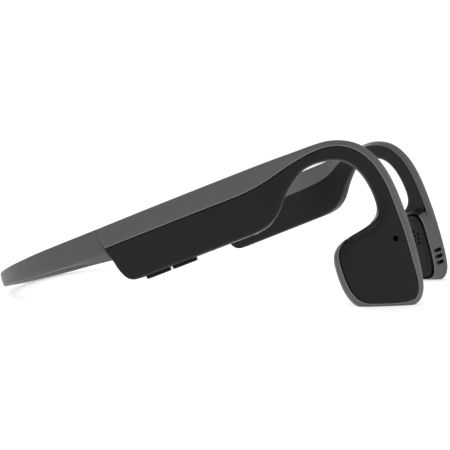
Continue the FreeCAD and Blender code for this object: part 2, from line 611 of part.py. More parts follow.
# ================================================================ transducers
def disc_body(label, placement, outer_r, thick, hole_r=None, cup=None):
    """Round piece on the local z axis; optional through hole or a blind pocket from the inner side."""
    b = new_body(label, placement)
    sk = new_sketch(b, label + "_outline", "XY_Plane")
    circle(sk, outer_r)
    if hole_r:
        circle(sk, hole_r)
    p = pad(b, sk, thick)
    b.Tip = p
    if cup:
        doc.recompute()
        top = [i for i, f in enumerate(p.Shape.Faces) if f.CenterOfMass.z > 0.1 and abs(f.normalAt(0, 0).z) > 0.9][0]
        sk2 = b.newObject("Sketcher::SketchObject", label + "_well")
        sk2.AttachmentSupport = [(p, "Face%d" % (top + 1))]
        sk2.MapMode = "FlatFace"
        circle(sk2, cup[0])
        q = b.newObject("PartDesign::Pocket", "Pocket")
        q.Profile = sk2
        q.setExpression("Length", cup[1])
        b.Tip = q
    return b


def plate(label, placement, long_x, high_y, thick, corner=None):
    b = new_body(label, placement)
    sk = new_sketch(b, label + "_outline", "XY_Plane")
    rect(sk, long_x, high_y)
    p = pad(b, sk, thick)
    b.Tip = p
    if corner:
        b.Tip = round_edges(b, p, corner, along(V(0, 0, 1)))
    return b


HS, HN = D("head_s"), D("head_n")


def pad_outline(k):
    """Pad outline: the head outline drawn in by 1.5 and scaled about the transducer's axis."""
    return [(HS + (s - HS) * k, HN + (n - HN) * k) for s, n in inset(HEAD_RUN, 1.5, True)]


for side, name in ((-1, "right"), (1, "left")):
    ys = D("yoke_start")
    disc_body(name + "_transducer_yoke", inward(side, HS, ys, HN), "dims.yoke_rad", "dims.yoke_thick", cup=("dims.groove_out", "dims.yoke_thick - dims.yoke_floor"))
    disc_body(name + "_transducer_magnet", inward(side, HS, ys + D("yoke_floor"), HN), "dims.magnet_rad", "dims.magnet_thick")
    disc_body(name + "_spring_plate", inward(side, HS, ys + D("yoke_thick"), HN), "dims.spring_out", "dims.spring_thick", hole_r="dims.spring_in")
    carrier_at = D("head_thick") + D("pad_proud") - D("pad_thick") - D("carrier_thick")
    disc_body(name + "_voice_coil", inward(side, HS, carrier_at - D("coil_long") + 0.4, HN), "dims.coil_out", "dims.coil_long - 0.4", hole_r="dims.coil_in")
    k = D("pad_scale")
    carrier = prism(closed_wire(side, pad_outline(k - 0.04), carrier_at), across(side, 160, D("carrier_thick")))
    feature(name + "_pad_carrier", carrier)
    z0, z1 = carrier_at + D("carrier_thick"), D("head_thick") + D("pad_proud")
    cushion = Part.makeLoft([closed_wire(side, pad_outline(k - q), z) for z, q in ((z0, 0.0), (z1 - 0.9, 0.0), (z1 - 0.3, 0.035), (z1, 0.12))], True, True)
    feature(name + "_contact_pad", cushion)
    ring_o = prism(closed_wire(side, inset(HEAD_RUN, D("pad_open_inset"), True), D("head_thick") - 1.35), across(side, 160, 0.6))
    ring_i = prism(closed_wire(side, inset(HEAD_RUN, D("pad_open_inset") + 0.45, True), D("head_thick") - 1.5), across(side, 160, 1.0))
    feature(name + "_pad_seal", one(ring_o.cut(ring_i)))

# ================================================================ right bay
R = -1


def upward(side, s, depth, n):
    """Placement with x along the arm, y through it and z up it."""
    return spot(side, s, depth, n)


for label, key in (("volume_up_button", "vol_up_s"), ("volume_down_button", "vol_down_s")):
    b = new_body(label, upward(R, D(key), D("bay_mid_depth"), -BAY_HIGH - D("vol_proud")))
    sk = new_sketch(b, label + "_cap", "XY_Plane")
    rect(sk, "dims.vol_long", "dims.vol_wide")
    p = pad(b, sk, "dims.vol_proud + dims.wall + 0.15")
    f = round_edges(b, p, "dims.vol_wide / 4", along(V(0, 0, 1)))
    doc.recompute()
    low = ["Edge%d" % (i + 1) for i, e in enumerate(f.Shape.Edges) if max(v.Point.z for v in e.Vertexes) < 1e-6]
    g = b.newObject("PartDesign::Fillet", "Fillet")
    g.Base = (f, low)
    g.Radius = 0.35
    doc.recompute()
    sk2 = b.newObject("Sketcher::SketchObject", label + "_flange")
    sk2.AttachmentSupport = [(origin_plane(b, "XY_Plane"), "")]
    sk2.MapMode = "FlatFace"
    sk2.setExpression("AttachmentOffset.Base.z", "dims.vol_proud + dims.wall + 0.15")
    rect(sk2, "dims.vol_long + 0.6", "dims.vol_wide + 1.2")
    q = pad(b, sk2, "dims.vol_flange")
    b.Tip = q

board = new_body("main_circuit_board", inward(R, D("board_s"), 4.8, D("board_n")))
sk = new_sketch(board, "board_outline", "XY_Plane")
rect(sk, "dims.board_long", "dims.board_high")
for dx in ("-16.3", "13.0"):
    circle(sk, "dims.screw_rad + 0.05", dx, "dims.board_n + 8.2")
board.Tip = pad(board, sk, "dims.board_thick")
doc.recompute()
cutter = new_sketch(board, "board_notches", "XY_Plane")
rect(cutter, "17.4", "4.0", "dims.vol_down_s + 4.15 - dims.board_s", "dims.board_high / 2 + 1.0")
rect(cutter, "dims.port_long + 0.6", "7.0", "dims.port_s - dims.board_s", "dims.board_high / 2")
board.Tip = pocket_all(board, cutter)

plate("shield_can", inward(R, D("board_s"), 4.8 - D("shield_thick"), -9.0).multiply(Placement(V(-2.0, 0, 0), Rotation())), "dims.shield_long", "dims.shield_high", "dims.shield_thick", "0.6")
plate("antenna_chip", inward(R, D("board_s"), 3.7, -10.9).multiply(Placement(V(-12.3, 0, 0), Rotation())), "3.2", "1.6", "1.1")
for k, (label, key) in enumerate((("volume_up_switch", "vol_up_s"), ("volume_down_switch", "vol_down_s"))):
    plate(label, spot(R, D(key), D("bay_mid_depth"), -15.0), "dims.switch_long", "dims.switch_wide", "dims.switch_high", "0.3")

screws = []
for dx in (-16.3, 13.0):
    c = Part.makeCylinder(D("screw_rad"), 3.6, V(dx, 0, 0))
    h = Part.makeCylinder(D("screw_head_rad"), 0.7, V(dx, 0, -0.7))
    c = c.fuse(h).removeSplitter()
    c.Placement = UNLEAN.multiply(inward(R, D("board_s"), 4.8, -8.2))
    screws.append(c)
feature("board_screws", Part.makeCompound(screws))

can = doc.addObject("Part::Box", "port_can")
well = doc.addObject("Part::Box", "port_well")
tongue = doc.addObject("Part::Box", "port_tongue")
for o, ex in ((can, ("dims.port_long", "dims.port_wide", "dims.port_deep")), (well, ("dims.port_long - 0.6", "dims.port_wide - 0.6", "dims.port_deep - 0.6")), (tongue, ("dims.port_long - 2.4", "0.6", "dims.port_deep - 1.2"))):
    for prop, e in zip(("Length", "Width", "Height"), ex):
        o.setExpression(prop, e)
doc.recompute()
well.Placement = Placement(V(0.3, 0.3, 0), Rotation())
tongue.Placement = Placement(V(1.2, D("port_wide") / 2 - 0.3, 0.6), Rotation())
hollow = doc.addObject("Part::Cut", "port_shell")
hollow.Base, hollow.Tool = can, well
port = doc.addObject("Part::Fuse", "charging_port")
port.Base, port.Tool = hollow, tongue
port.Label = "charging_port"
port.Placement = spot(R, D("port_s"), D("bay_mid_depth"), -BAY_HIGH + D("lid_thick") + 0.5).multiply(Placement(V(-D("port_long") / 2, -D("port_wide") / 2, 0), Rotation()))
NODES.append(port)

lid = new_body("charging_port_cover", spot(R, D("lid_hinge_s"), D("bay_mid_depth"), -BAY_HIGH + D("lid_thick") / 2))
sk = new_sketch(lid, "cover_outline", "XZ_Plane")
import Sketcher
t = D("lid_thick") / 2
L = D("lid_long") - t
geo = [Part.LineSegment(V(0, t, 0), V(L, t, 0)), Part.LineSegment(V(L, t, 0), V(L, -t, 0)), Part.LineSegment(V(L, -t, 0), V(0, -t, 0)),
       Part.ArcOfCircle(Part.Circle(V(0, 0, 0), V(0, 0, 1), t), math.pi / 2, 3 * math.pi / 2)]
for g in geo:
    sk.addGeometry(g, False)
sk.addConstraint(Sketcher.Constraint("Coincident", 0, 2, 1, 1))
sk.addConstraint(Sketcher.Constraint("Coincident", 1, 2, 2, 1))
sk.addConstraint(Sketcher.Constraint("Tangent", 0, 1, 3, 1))
sk.addConstraint(Sketcher.Constraint("Tangent", 2, 2, 3, 2))
sk.addConstraint(Sketcher.Constraint("Coincident", 3, 3, -1, 1))
sk.addConstraint(Sketcher.Constraint("Horizontal", 0))
sk.addConstraint(Sketcher.Constraint("Vertical", 1))
c = sk.addConstraint(Sketcher.Constraint("Radius", 3, t)); sk.renameConstraint(c, "half"); sk.setExpression("Constraints.half", "dims.lid_thick / 2")
c = sk.addConstraint(Sketcher.Constraint("DistanceX", 0, 1, 0, 2, L)); sk.renameConstraint(c, "reach"); sk.setExpression("Constraints.reach", "dims.lid_long - dims.lid_thick / 2")
lid.Tip = pad(lid, sk, "dims.lid_wide", midplane=True)

mic_z = D("face_thick")
plate("microphone", inward(R, D("mic_s"), mic_z + 0.02, D("mic_n")), "dims.mic_long", "dims.mic_high", "dims.mic_thick", "0.25")
disc_body("microphone_mesh", inward(R, D("mic_s"), mic_z - D("mesh_thick"), D("mic_n")), "dims.mesh_rad", "dims.mesh_thick")

# ================================================================ left bay and button
Lf = 1
plate("battery_cell", inward(Lf, D("battery_s"), 3.0, D("battery_n")), "dims.battery_long", "dims.battery_high", "dims.battery_thick", "1.2")
plate("battery_guard_board", inward(Lf, D("guard_s"), 4.8, -9.6), "dims.guard_long", "dims.guard_high", "dims.guard_thick")
mfb = new_body("multifunction_button", inward(Lf, D("mfb_s"), -D("mfb_proud"), D("mfb_n")))
sk = new_sketch(mfb, "button_cap", "XY_Plane")
rect(sk, "dims.mfb_wide", "dims.mfb_long")
p = pad(mfb, sk, "dims.mfb_proud + dims.face_thick + 0.1")
f = round_edges(mfb, p, "2.1", along(V(0, 0, 1)))
doc.recompute()
low = ["Edge%d" % (i + 1) for i, e in enumerate(f.Shape.Edges) if max(v.Point.z for v in e.Vertexes) < 1e-6]
g = mfb.newObject("PartDesign::Fillet", "Fillet")
g.Base = (f, low)
g.Radius = 0.3
doc.recompute()
sk2 = mfb.newObject("Sketcher::SketchObject", "button_flange")
sk2.AttachmentSupport = [(origin_plane(mfb, "XY_Plane"), "")]
sk2.MapMode = "FlatFace"
sk2.setExpression("AttachmentOffset.Base.z", "dims.mfb_proud + dims.face_thick + 0.1")
rect(sk2, "dims.mfb_wide + 1.0", "dims.mfb_long + 1.0")
mfb.Tip = pad(mfb, sk2, "dims.mfb_flange")
disc_body("multifunction_dome_switch", inward(Lf, D("mfb_s"), 2.4, D("mfb_n")), "1.8", "0.35")
plate("multifunction_board", inward(Lf, D("mfb_s"), 2.75, D("mfb_n")), "6.0", "7.0", "0.4", "0.8")

# ================================================================ checks and export
doc.recompute()
bad = []
for o in doc.Objects:
    if any(k in ("Invalid", "Error") for k in o.State):
        bad.append((o.Label, list(o.State)))
labels = [o.Label for o in NODES]
if len(set(labels)) != len(labels):
    bad.append("repeated label")
for o in NODES:
    if o.Shape.isNull() or not o.Shape.isValid() or o.Shape.Volume < 0.01:
        bad.append((o.Label, "shape"))
if bad:
    raise SystemExit("faults: %s" % bad)
os.makedirs("parts", exist_ok=True)
for o in NODES:
    o.Shape.exportStep("parts/%s.step" % o.Label)
box = FreeCAD.BoundBox()
for o in NODES:
    box.add(o.Shape.BoundBox)
    print("%-28s %9.2f mm3 %d solid(s)" % (o.Label, o.Shape.Volume, len(o.Shape.Solids)))
print("nodes", len(NODES), "box", box)
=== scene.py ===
import math

import bpy
import bmesh
import numpy as np
from mathutils import Matrix, Vector
from mathutils.geometry import delaunay_2d_cdt


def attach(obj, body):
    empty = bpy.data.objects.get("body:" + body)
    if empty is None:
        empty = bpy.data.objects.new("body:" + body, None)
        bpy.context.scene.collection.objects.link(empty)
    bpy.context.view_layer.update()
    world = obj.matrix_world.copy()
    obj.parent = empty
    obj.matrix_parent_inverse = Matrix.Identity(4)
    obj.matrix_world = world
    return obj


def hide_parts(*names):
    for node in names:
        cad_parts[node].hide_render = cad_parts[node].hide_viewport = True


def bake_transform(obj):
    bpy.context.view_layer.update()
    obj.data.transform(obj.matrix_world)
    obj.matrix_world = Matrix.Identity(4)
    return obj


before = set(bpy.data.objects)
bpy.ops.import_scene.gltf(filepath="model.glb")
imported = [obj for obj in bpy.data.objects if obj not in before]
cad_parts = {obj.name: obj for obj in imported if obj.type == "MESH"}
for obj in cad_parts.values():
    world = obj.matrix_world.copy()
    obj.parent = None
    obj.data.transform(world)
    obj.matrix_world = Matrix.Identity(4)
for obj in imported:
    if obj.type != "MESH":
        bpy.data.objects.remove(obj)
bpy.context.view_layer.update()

# ------------------------------------------------------------------ developed coordinates (millimetres)
# s runs along the outer plan curve from the rear centre, n is the height above the neckband plane's top edge,
# z is the depth inward from the outer surface. side -1 is the right arm, +1 the left.
LEAN, LIFT, SHIFT = math.radians(21.28), 3.173, -67.87
ARCS = ((105.0, 17.5), (32.0, 72.5), (218.0, 16.3), (38.0, 13.3))


def chain():
    x, w, th, s, out = 0.0, 0.0, math.pi / 2, 0.0, []
    for r, a in ARCS:
        a = math.radians(a)
        cx, cw = x + r * math.sin(th), w - r * math.cos(th)
        out.append((s, s + r * a, r, cx, cw, th))
        th -= a
        x, w, s = cx - r * math.sin(th), cw + r * math.cos(th), s + r * a
    return out, (s, x, w, th)


CHAIN, TAIL = chain()


def dev(side, s, z, n):
    """World points in metres for arrays of developed coordinates."""
    s, z, n = (np.asarray(v, float) for v in np.broadcast_arrays(s, z, n))
    sgn = np.where(s < 0, -side, side)
    a = np.abs(s)
    x, w, t = np.zeros_like(a), np.zeros_like(a), np.zeros_like(a)
    for s0, s1, r, cx, cw, th in CHAIN:
        m = (a >= s0) & (a <= s1)
        tt = th - (a - s0) / r
        x, w, t = np.where(m, cx - r * np.sin(tt), x), np.where(m, cw + r * np.cos(tt), w), np.where(m, tt, t)
    s0, x0, w0, th = TAIL
    m = a > s0
    x, w, t = np.where(m, x0 + (a - s0) * math.cos(th), x), np.where(m, w0 + (a - s0) * math.sin(th), w), np.where(m, th, t)
    X, Y = x + np.sin(t) * z, sgn * (w - np.cos(t) * z)
    c, q = math.cos(LEAN), math.sin(LEAN)
    return np.stack([SHIFT + X * c - n * q, Y, LIFT + X * q + n * c], -1) / 1000.0


def lay(t, pairs):
    return np.interp(t, [p[0] for p in pairs], [p[1] for p in pairs])


def soft(t, pairs, half=3.0):
    """Table lookup with its corners rounded off."""
    t = np.asarray(t, float)
    return sum(lay(t + half * k / 5.0, pairs) * (1 - abs(k) / 6.0) for k in range(-5, 6)) / sum(1 - abs(k) / 6.0 for k in range(-5, 6))


# ------------------------------------------------------------------ profiles
TOP_RUN = [(155.0, 0.0), (158.5, -0.2), (162.2, -1.1), (166.4, -3.3), (169.3, -6.4), (171.3, -10.3), (172.4, -14.5), (172.9, -19.0), (173.0, -24.5), (172.8, -29.8), (172.3, -35.4), (171.5, -41.3), (170.6, -45.7), (169.6, -48.5), (168.1, -50.4), (166.0, -51.3), (162.1, -50.9), (156.0, -49.0), (151.8, -47.2), (149.8, -45.2), (148.6, -42.3), (148.2, -38.7), (148.4, -34.4), (149.1, -31.3), (150.6, -29.3), (153.1, -28.0), (156.6, -27.2), (160.5, -26.5), (163.7, -25.3), (165.6, -23.3), (166.2, -20.4), (166.0, -16.4), (165.2, -12.6), (163.7, -9.5), (161.4, -7.2), (158.5, -5.9), (155.4, -5.35), (152.4, -5.3), (149.7, -5.75)]
HEAD_RUN = [(150.6, -29.3), (153.1, -28.0), (156.6, -27.2), (160.5, -26.6), (164.6, -26.0), (168.6, -25.9), (171.4, -27.6), (172.5, -31.2), (172.3, -35.4), (171.5, -41.3), (170.6, -45.7), (169.6, -48.5), (168.1, -50.4), (166.0, -51.3), (162.1, -50.9), (156.0, -49.0), (151.8, -47.2), (149.8, -45.2), (148.6, -42.3), (148.2, -38.7), (148.4, -34.4), (149.1, -31.3)]
BAY_FRONT = [(147.4, -6.85), (144.9, -8.6), (142.3, -10.8), (140.4, -12.8), (138.6, -14.6), (136.4, -16.1), (133.8, -17.1), (130.5, -17.5)]
BAY_REAR = [(94.4, -17.5), (92.9, -17.1), (91.6, -15.9), (90.6, -13.4), (89.8, -9.7), (89.1, -6.3)]
REAR_S = [(-17.5, 93.6), (-15.9, 91.6), (-13.4, 90.6), (-9.7, 89.8), (-6.3, 89.1), (-3.2, 88.1), (0.0, 87.4)]
HOOK_DARK = [(151.0, -2.1), (155.0, -1.9), (159.0, -2.3), (162.3, -3.4), (165.3, -5.6), (167.7, -8.9), (169.1, -12.6), (169.9, -17.0), (170.1, -21.5), (170.0, -27.2), (169.8, -33.0), (169.1, -40.1), (168.6, -45.0), (167.6, -48.0), (166.1, -49.5), (163.5, -49.7), (156.0, -47.4), (152.4, -45.8), (150.9, -44.1), (149.9, -41.5), (149.6, -38.7), (149.8, -34.6), (150.2, -32.2)]
HEAD_S, HEAD_N = 160.2, -38.2


def spline(points, closed=False):
    """C2 curve through the points; returns a function of the point index."""
    P = np.array(points, float)
    if closed:
        P = np.vstack([P, P[:1]])
    h = np.maximum(np.hypot(*(P[1:] - P[:-1]).T), 1e-6) ** 0.5
    k = len(P)
    A, B = np.zeros((k, k)), np.zeros((k, 2))
    for i in range(1, k - 1):
        A[i, i - 1], A[i, i], A[i, i + 1] = h[i - 1], 2 * (h[i - 1] + h[i]), h[i]
        B[i] = 6 * ((P[i + 1] - P[i]) / h[i] - (P[i] - P[i - 1]) / h[i - 1])
    if closed:
        A[0, 0], A[0, -1] = 1, -1
        A[-1, 0], A[-1, 1], A[-1, -2], A[-1, -1] = 2 * h[0], h[0], h[-1], 2 * h[-1]
        B[-1] = 6 * ((P[1] - P[0]) / h[0] - (P[-1] - P[-2]) / h[-1])
    else:
        A[0, 0] = A[-1, -1] = 1
    M = np.linalg.solve(A, B)

    def at(u):
        u = np.clip(np.asarray(u, float), 0, k - 1 - 1e-9)
        i = np.floor(u).astype(int)
        hh = h[i][:, None]
        b = (u - i)[:, None] * hh
        a = hh - b
        return (M[i] * a ** 3 + M[i + 1] * b ** 3) / (6 * hh) + (P[i] / hh - M[i] * hh / 6) * a + (P[i + 1] / hh - M[i + 1] * hh / 6) * b
    return at, k - 1


def even(points, step, closed=False, u0=0.0, u1=None):
    """Points about step apart along the smooth curve, with the curve index of each."""
    at, top = spline(points, closed)
    u = np.linspace(u0, top if u1 is None else u1, 4000)
    q = at(u)
    d = np.r_[0, np.cumsum(np.hypot(*(q[1:] - q[:-1]).T))]
    m = max(2, int(round(d[-1] / step)))
    uu = np.interp(np.linspace(0, d[-1], m + 1), d, u)
    if closed:
        uu = uu[:-1]
    return at(uu), uu


def normals(p, closed):
    """Unit normals pointing to the right of travel."""
    if closed:
        t = np.roll(p, -1, 0) - np.roll(p, 1, 0)
    else:
        t = np.gradient(p, axis=0)
    t /= np.hypot(*t.T)[:, None]
    return np.stack([t[:, 1], -t[:, 0]], -1)


def dist_to(p, line, closed=False):
    """Distance from points to a polyline, and the fractional index of the nearest place on it."""
    a = line
    b = np.roll(line, -1, 0) if closed else line[1:]
    a = a if closed else line[:-1]
    ab = b - a
    L = np.maximum((ab ** 2).sum(1), 1e-12)
    best, idx = np.full(len(p), 1e9), np.zeros(len(p))
    for c in range(0, len(p), 1500):
        q = p[c:c + 1500, None, :] - a[None]
        t = np.clip((q * ab[None]).sum(2) / L, 0, 1)
        dd = np.hypot(*(np.moveaxis(q - t[..., None] * ab[None], -1, 0)))
        j = dd.argmin(1)
        r = np.arange(len(j))
        best[c:c + 1500], idx[c:c + 1500] = dd[r, j], j + t[r, j]
    return best, idx


# ------------------------------------------------------------------ mesh helpers
def make(name, verts, faces, mats, face_mats=None, sharp=38.0, weighted=True):
    me = bpy.data.meshes.new(name)
    me.from_pydata([tuple(v) for v in verts], [], [tuple(f) for f in faces])
    if face_mats is not None:
        me.polygons.foreach_set("material_index", face_mats)
    me.validate()
    bm = bmesh.new()
    bm.from_mesh(me)
    bmesh.ops.remove_doubles(bm, verts=bm.verts, dist=1.5e-6)
    bmesh.ops.dissolve_degenerate(bm, edges=bm.edges, dist=1e-8)
    bmesh.ops.recalc_face_normals(bm, faces=bm.faces)
    bm.to_mesh(me)
    bm.free()
    for m in mats if isinstance(mats, (list, tuple)) else [mats]:
        me.materials.append(m)
    me.shade_smooth()
    if sharp:
        me.set_sharp_from_angle(angle=math.radians(sharp))
    o = bpy.data.objects.new(name, me)
    bpy.context.scene.collection.objects.link(o)
    if weighted:
        w = o.modifiers.new("even_normals", "WEIGHTED_NORMAL")
        w.keep_sharp = True
        w.weight = 60
    return o


def round_poly(corners, radii, seg=4):
    """Polyline with each corner replaced by an arc of fixed point count."""
    C = [np.array(c, float) for c in corners]
    k, out = len(C), []
    for i in range(k):
        a, b, c = C[i - 1], C[i], C[(i + 1) % k]
        u, v = a - b, c - b
        lu, lv = np.hypot(*u), np.hypot(*v)
        if lu < 1e-9 or lv < 1e-9:
            out += [b] * (seg + 1)
            continue
        u, v = u / lu, v / lv
        ang = math.acos(float(np.clip(u @ v, -1, 1)))
        if radii[i] <= 0 or ang > math.pi - 0.02 or ang < 0.02:
            out += [b + (u * (0.5 - j / seg) if j < seg / 2 else v * (j / seg - 0.5)) * 1e-3 for j in range(seg + 1)]
            continue
        run = min(radii[i] / math.tan(ang / 2), 0.46 * lu, 0.46 * lv)
        r = run * math.tan(ang / 2)
        bis = (u + v) / np.hypot(*(u + v))
        cen = b + bis * math.hypot(r, run)
        p, q = b + u * run - cen, b + v * run - cen
        a0, a1 = math.atan2(p[1], p[0]), math.atan2(q[1], q[0])
        d = (a1 - a0 + math.pi) % (2 * math.pi) - math.pi
        out += [cen + r * np.array([math.cos(a0 + d * j / seg), math.sin(a0 + d * j / seg)]) for j in range(seg + 1)]
    return np.array(out)


def loft(name, loops, mat, closed=False, caps=True, sharp=38.0, weighted=True, face_mats=None):
    """Quads between closed loops of points; caps close the two ends."""
    L = np.array(loops)
    m, k = L.shape[:2]
    faces = []
    for i in range(m if closed else m - 1):
        a, b = i * k, ((i + 1) % m) * k
        faces += [(a + j, a + (j + 1) % k, b + (j + 1) % k, b + j) for j in range(k)]
    if caps and not closed:
        faces += [tuple(range(k)), tuple((m - 1) * k + j for j in reversed(range(k)))]
    return make(name, L.reshape(-1, 3), faces, mat, face_mats, sharp=sharp, weighted=weighted)


def flat_foot(obj):
    """Cuts a closed mesh level with the ground and closes the section."""
    me = obj.data
    bm = bmesh.new()
    bm.from_mesh(me)
    r = bmesh.ops.bisect_plane(bm, geom=bm.verts[:] + bm.edges[:] + bm.faces[:], dist=1e-8, plane_co=(0, 0, 0), plane_no=(0, 0, 1), clear_inner=True)
    rim_ = [e for e in r["geom_cut"] if isinstance(e, bmesh.types.BMEdge) and e.is_boundary]
    if rim_:
        bmesh.ops.triangle_fill(bm, edges=rim_, use_beauty=True, normal=(0, 0, -1))
        bmesh.ops.recalc_face_normals(bm, faces=bm.faces)
    bm.to_mesh(me)
    bm.free()
    me.set_sharp_from_angle(angle=math.radians(38))
    return obj


def difference(obj, cutter):
    """Cuts one closed mesh from another and keeps the smooth shading."""
    w = [m for m in obj.modifiers if m.type == "WEIGHTED_NORMAL"]
    for m in w:
        obj.modifiers.remove(m)
    b = obj.modifiers.new("cut", "BOOLEAN")
    b.operation, b.solver, b.object = "DIFFERENCE", "EXACT", cutter
    dg = bpy.context.evaluated_depsgraph_get()
    me = bpy.data.meshes.new_from_object(obj.evaluated_get(dg))
    obj.modifiers.remove(b)
    old = obj.data
    obj.data = me
    me.name = old.name
    bpy.data.meshes.remove(old)
    bpy.data.objects.remove(cutter)
    me.shade_smooth()
    me.set_sharp_from_angle(angle=math.radians(38))
    if w:
        n = obj.modifiers.new("even_normals", "WEIGHTED_NORMAL")
        n.keep_sharp = True
        n.weight = 60
    return obj


# ------------------------------------------------------------------ materials
def mat(name, base, rough, spec=0.5, grain=900.0, bump=0.06, vary=0.12, fleck=0.0, sheen=0.0, coat=0.0, metal=0.0, wear_and_highlight=0.0, wear_and_highlight_tone=None, aniso=0.0, coat_rough=0.3):
    """Moulded finish: base tone with broad and fine variation, fine-grain bump, and a lighter tone on sharp edges from
    pointiness that is both edge wear and a painted edge highlight.
    """
    m = bpy.data.materials.new(name)
    m.use_nodes = True
    nt = m.node_tree
    N, L = nt.nodes, nt.links
    b = N["Principled BSDF"]
    tc = N.new("ShaderNodeTexCoord")
    geo = N.new("ShaderNodeNewGeometry")
    broad = N.new("ShaderNodeTexNoise")
    broad.inputs["Scale"].default_value = 42.0
    broad.inputs["Detail"].default_value = 4.0
    broad.inputs["Roughness"].default_value = 0.55
    fine = N.new("ShaderNodeTexNoise")
    fine.inputs["Scale"].default_value = grain
    fine.inputs["Detail"].default_value = 3.0
    fine.inputs["Roughness"].default_value = 0.6
    cells = N.new("ShaderNodeTexVoronoi")
    cells.inputs["Scale"].default_value = grain * 2.2
    for k in (broad, fine, cells):
        L.new(tc.outputs["Object"], k.inputs["Vector"])
    ramp = N.new("ShaderNodeValToRGB")
    ramp.color_ramp.elements[0].position = 0.3
    ramp.color_ramp.elements[1].position = 0.72
    lo = [c * (1 - vary) for c in base]
    hi = [c * (1 + vary) for c in base]
    ramp.color_ramp.elements[0].color = (*lo, 1)
    ramp.color_ramp.elements[1].color = (*hi, 1)
    L.new(broad.outputs["Fac"], ramp.inputs["Fac"])
    speck = N.new("ShaderNodeMix")
    speck.data_type = "RGBA"
    speck.blend_type = "MULTIPLY"
    fr = N.new("ShaderNodeMapRange")
    fr.inputs["From Min"].default_value = 0.35
    fr.inputs["From Max"].default_value = 0.65
    fr.inputs["To Min"].default_value = 1.0 - fleck
    fr.inputs["To Max"].default_value = 1.0 + fleck
    L.new(fine.outputs["Fac"], fr.inputs["Value"])
    comb = N.new("ShaderNodeCombineColor")
    for c in ("Red", "Green", "Blue"):
        L.new(fr.outputs["Result"], comb.inputs[c])
    speck.inputs["Factor"].default_value = 1.0
    L.new(ramp.outputs["Color"], speck.inputs["A"])
    L.new(comb.outputs["Color"], speck.inputs["B"])
    colour = speck.outputs["Result"]
    if wear_and_highlight:
        edge = N.new("ShaderNodeMapRange")
        edge.inputs["From Min"].default_value = 0.52
        edge.inputs["From Max"].default_value = 0.62
        edge.inputs["To Max"].default_value = wear_and_highlight
        L.new(geo.outputs["Pointiness"], edge.inputs["Value"])
        patch = N.new("ShaderNodeMath")
        patch.operation = "MULTIPLY"
        L.new(edge.outputs["Result"], patch.inputs[0])
        L.new(broad.outputs["Fac"], patch.inputs[1])
        worn_and_highlit = N.new("ShaderNodeMix")
        worn_and_highlit.data_type = "RGBA"
        tone = wear_and_highlight_tone or [min(1, c * 2.2 + 0.01) for c in base]
        worn_and_highlit.inputs["B"].default_value = (*tone, 1)
        L.new(patch.outputs["Value"], worn_and_highlit.inputs["Factor"])
        L.new(colour, worn_and_highlit.inputs["A"])
        colour = worn_and_highlit.outputs["Result"]
    L.new(colour, b.inputs["Base Color"])
    rr = N.new("ShaderNodeMapRange")
    rr.inputs["From Min"].default_value = 0.3
    rr.inputs["From Max"].default_value = 0.7
    rr.inputs["To Min"].default_value = rough - 0.05
    rr.inputs["To Max"].default_value = rough + 0.06
    L.new(broad.outputs["Fac"], rr.inputs["Value"])
    L.new(rr.outputs["Result"], b.inputs["Roughness"])
    add = N.new("ShaderNodeMath")
    add.operation = "MULTIPLY_ADD"
    add.inputs[1].default_value = 0.5
    L.new(cells.outputs["Distance"], add.inputs[0])
    L.new(fine.outputs["Fac"], add.inputs[2])
    bp = N.new("ShaderNodeBump")
    bp.inputs["Strength"].default_value = bump
    bp.inputs["Distance"].default_value = 0.0001
    L.new(add.outputs["Value"], bp.inputs["Height"])
    L.new(bp.outputs["Normal"], b.inputs["Normal"])
    b.inputs["Specular IOR Level"].default_value = spec
    b.inputs["Metallic"].default_value = metal
    b.inputs["Sheen Weight"].default_value = sheen
    b.inputs["Sheen Roughness"].default_value = 0.45
    b.inputs["Coat Weight"].default_value = coat
    b.inputs["Coat Roughness"].default_value = coat_rough
    b.inputs["Anisotropic"].default_value = aniso
    m.diffuse_color = (*base, 1)
    return m


# the pointiness lightening on the grey, sleeve, black and button finishes is edge wear and also a painted highlight
# along the edges
GREY = mat("soft_touch_grey", (0.078, 0.0785, 0.0792), 0.50, spec=0.38, grain=1500, bump=0.05, vary=0.05, fleck=0.05, sheen=0.06, wear_and_highlight=0.45, wear_and_highlight_tone=(0.15, 0.15, 0.15))
# a lighter copy of the grey, put on the rim band's seam bevels and the head rim's top corner as a painted highlight
GREY_EDGE_HIGHLIGHT = mat("soft_touch_grey_painted_edge_highlight", (0.125, 0.1255, 0.1262), 0.40, spec=0.5, grain=1500, bump=0.03, vary=0.05, fleck=0.04)
# a slightly lighter copy of the grey, put on the rim band's outer top edge as a painted highlight
GREY_TOP_EDGE_HIGHLIGHT = mat("soft_touch_grey_painted_top_edge_highlight", (0.105, 0.1055, 0.1062), 0.44, spec=0.45, grain=1500, bump=0.04, vary=0.06, fleck=0.05)
SLEEVE = mat("silicone_sleeve_grey", (0.078, 0.0785, 0.0792), 0.56, spec=0.34, grain=1300, bump=0.05, vary=0.06, fleck=0.04, sheen=0.10, wear_and_highlight=0.2, wear_and_highlight_tone=(0.14, 0.14, 0.14))
BLACK = mat("soft_touch_black", (0.0046, 0.0046, 0.0048), 0.42, spec=0.20, grain=1600, bump=0.05, vary=0.10, fleck=0.08, sheen=0.03, wear_and_highlight=0.3, wear_and_highlight_tone=(0.05, 0.05, 0.05))
BUTTON = mat("moulded_button_black", (0.003, 0.003, 0.0031), 0.34, spec=0.12, grain=1800, bump=0.04, vary=0.15, fleck=0.1, wear_and_highlight=0.2)
SILICONE = mat("pad_silicone_black", (0.008, 0.008, 0.0083), 0.36, spec=0.18, grain=2200, bump=0.08, vary=0.12, fleck=0.1, sheen=0.12)
SEAL = mat("seal_rubber_black", (0.003, 0.003, 0.003), 0.6, spec=0.12, grain=1500, bump=0.05, vary=0.2, fleck=0.1)
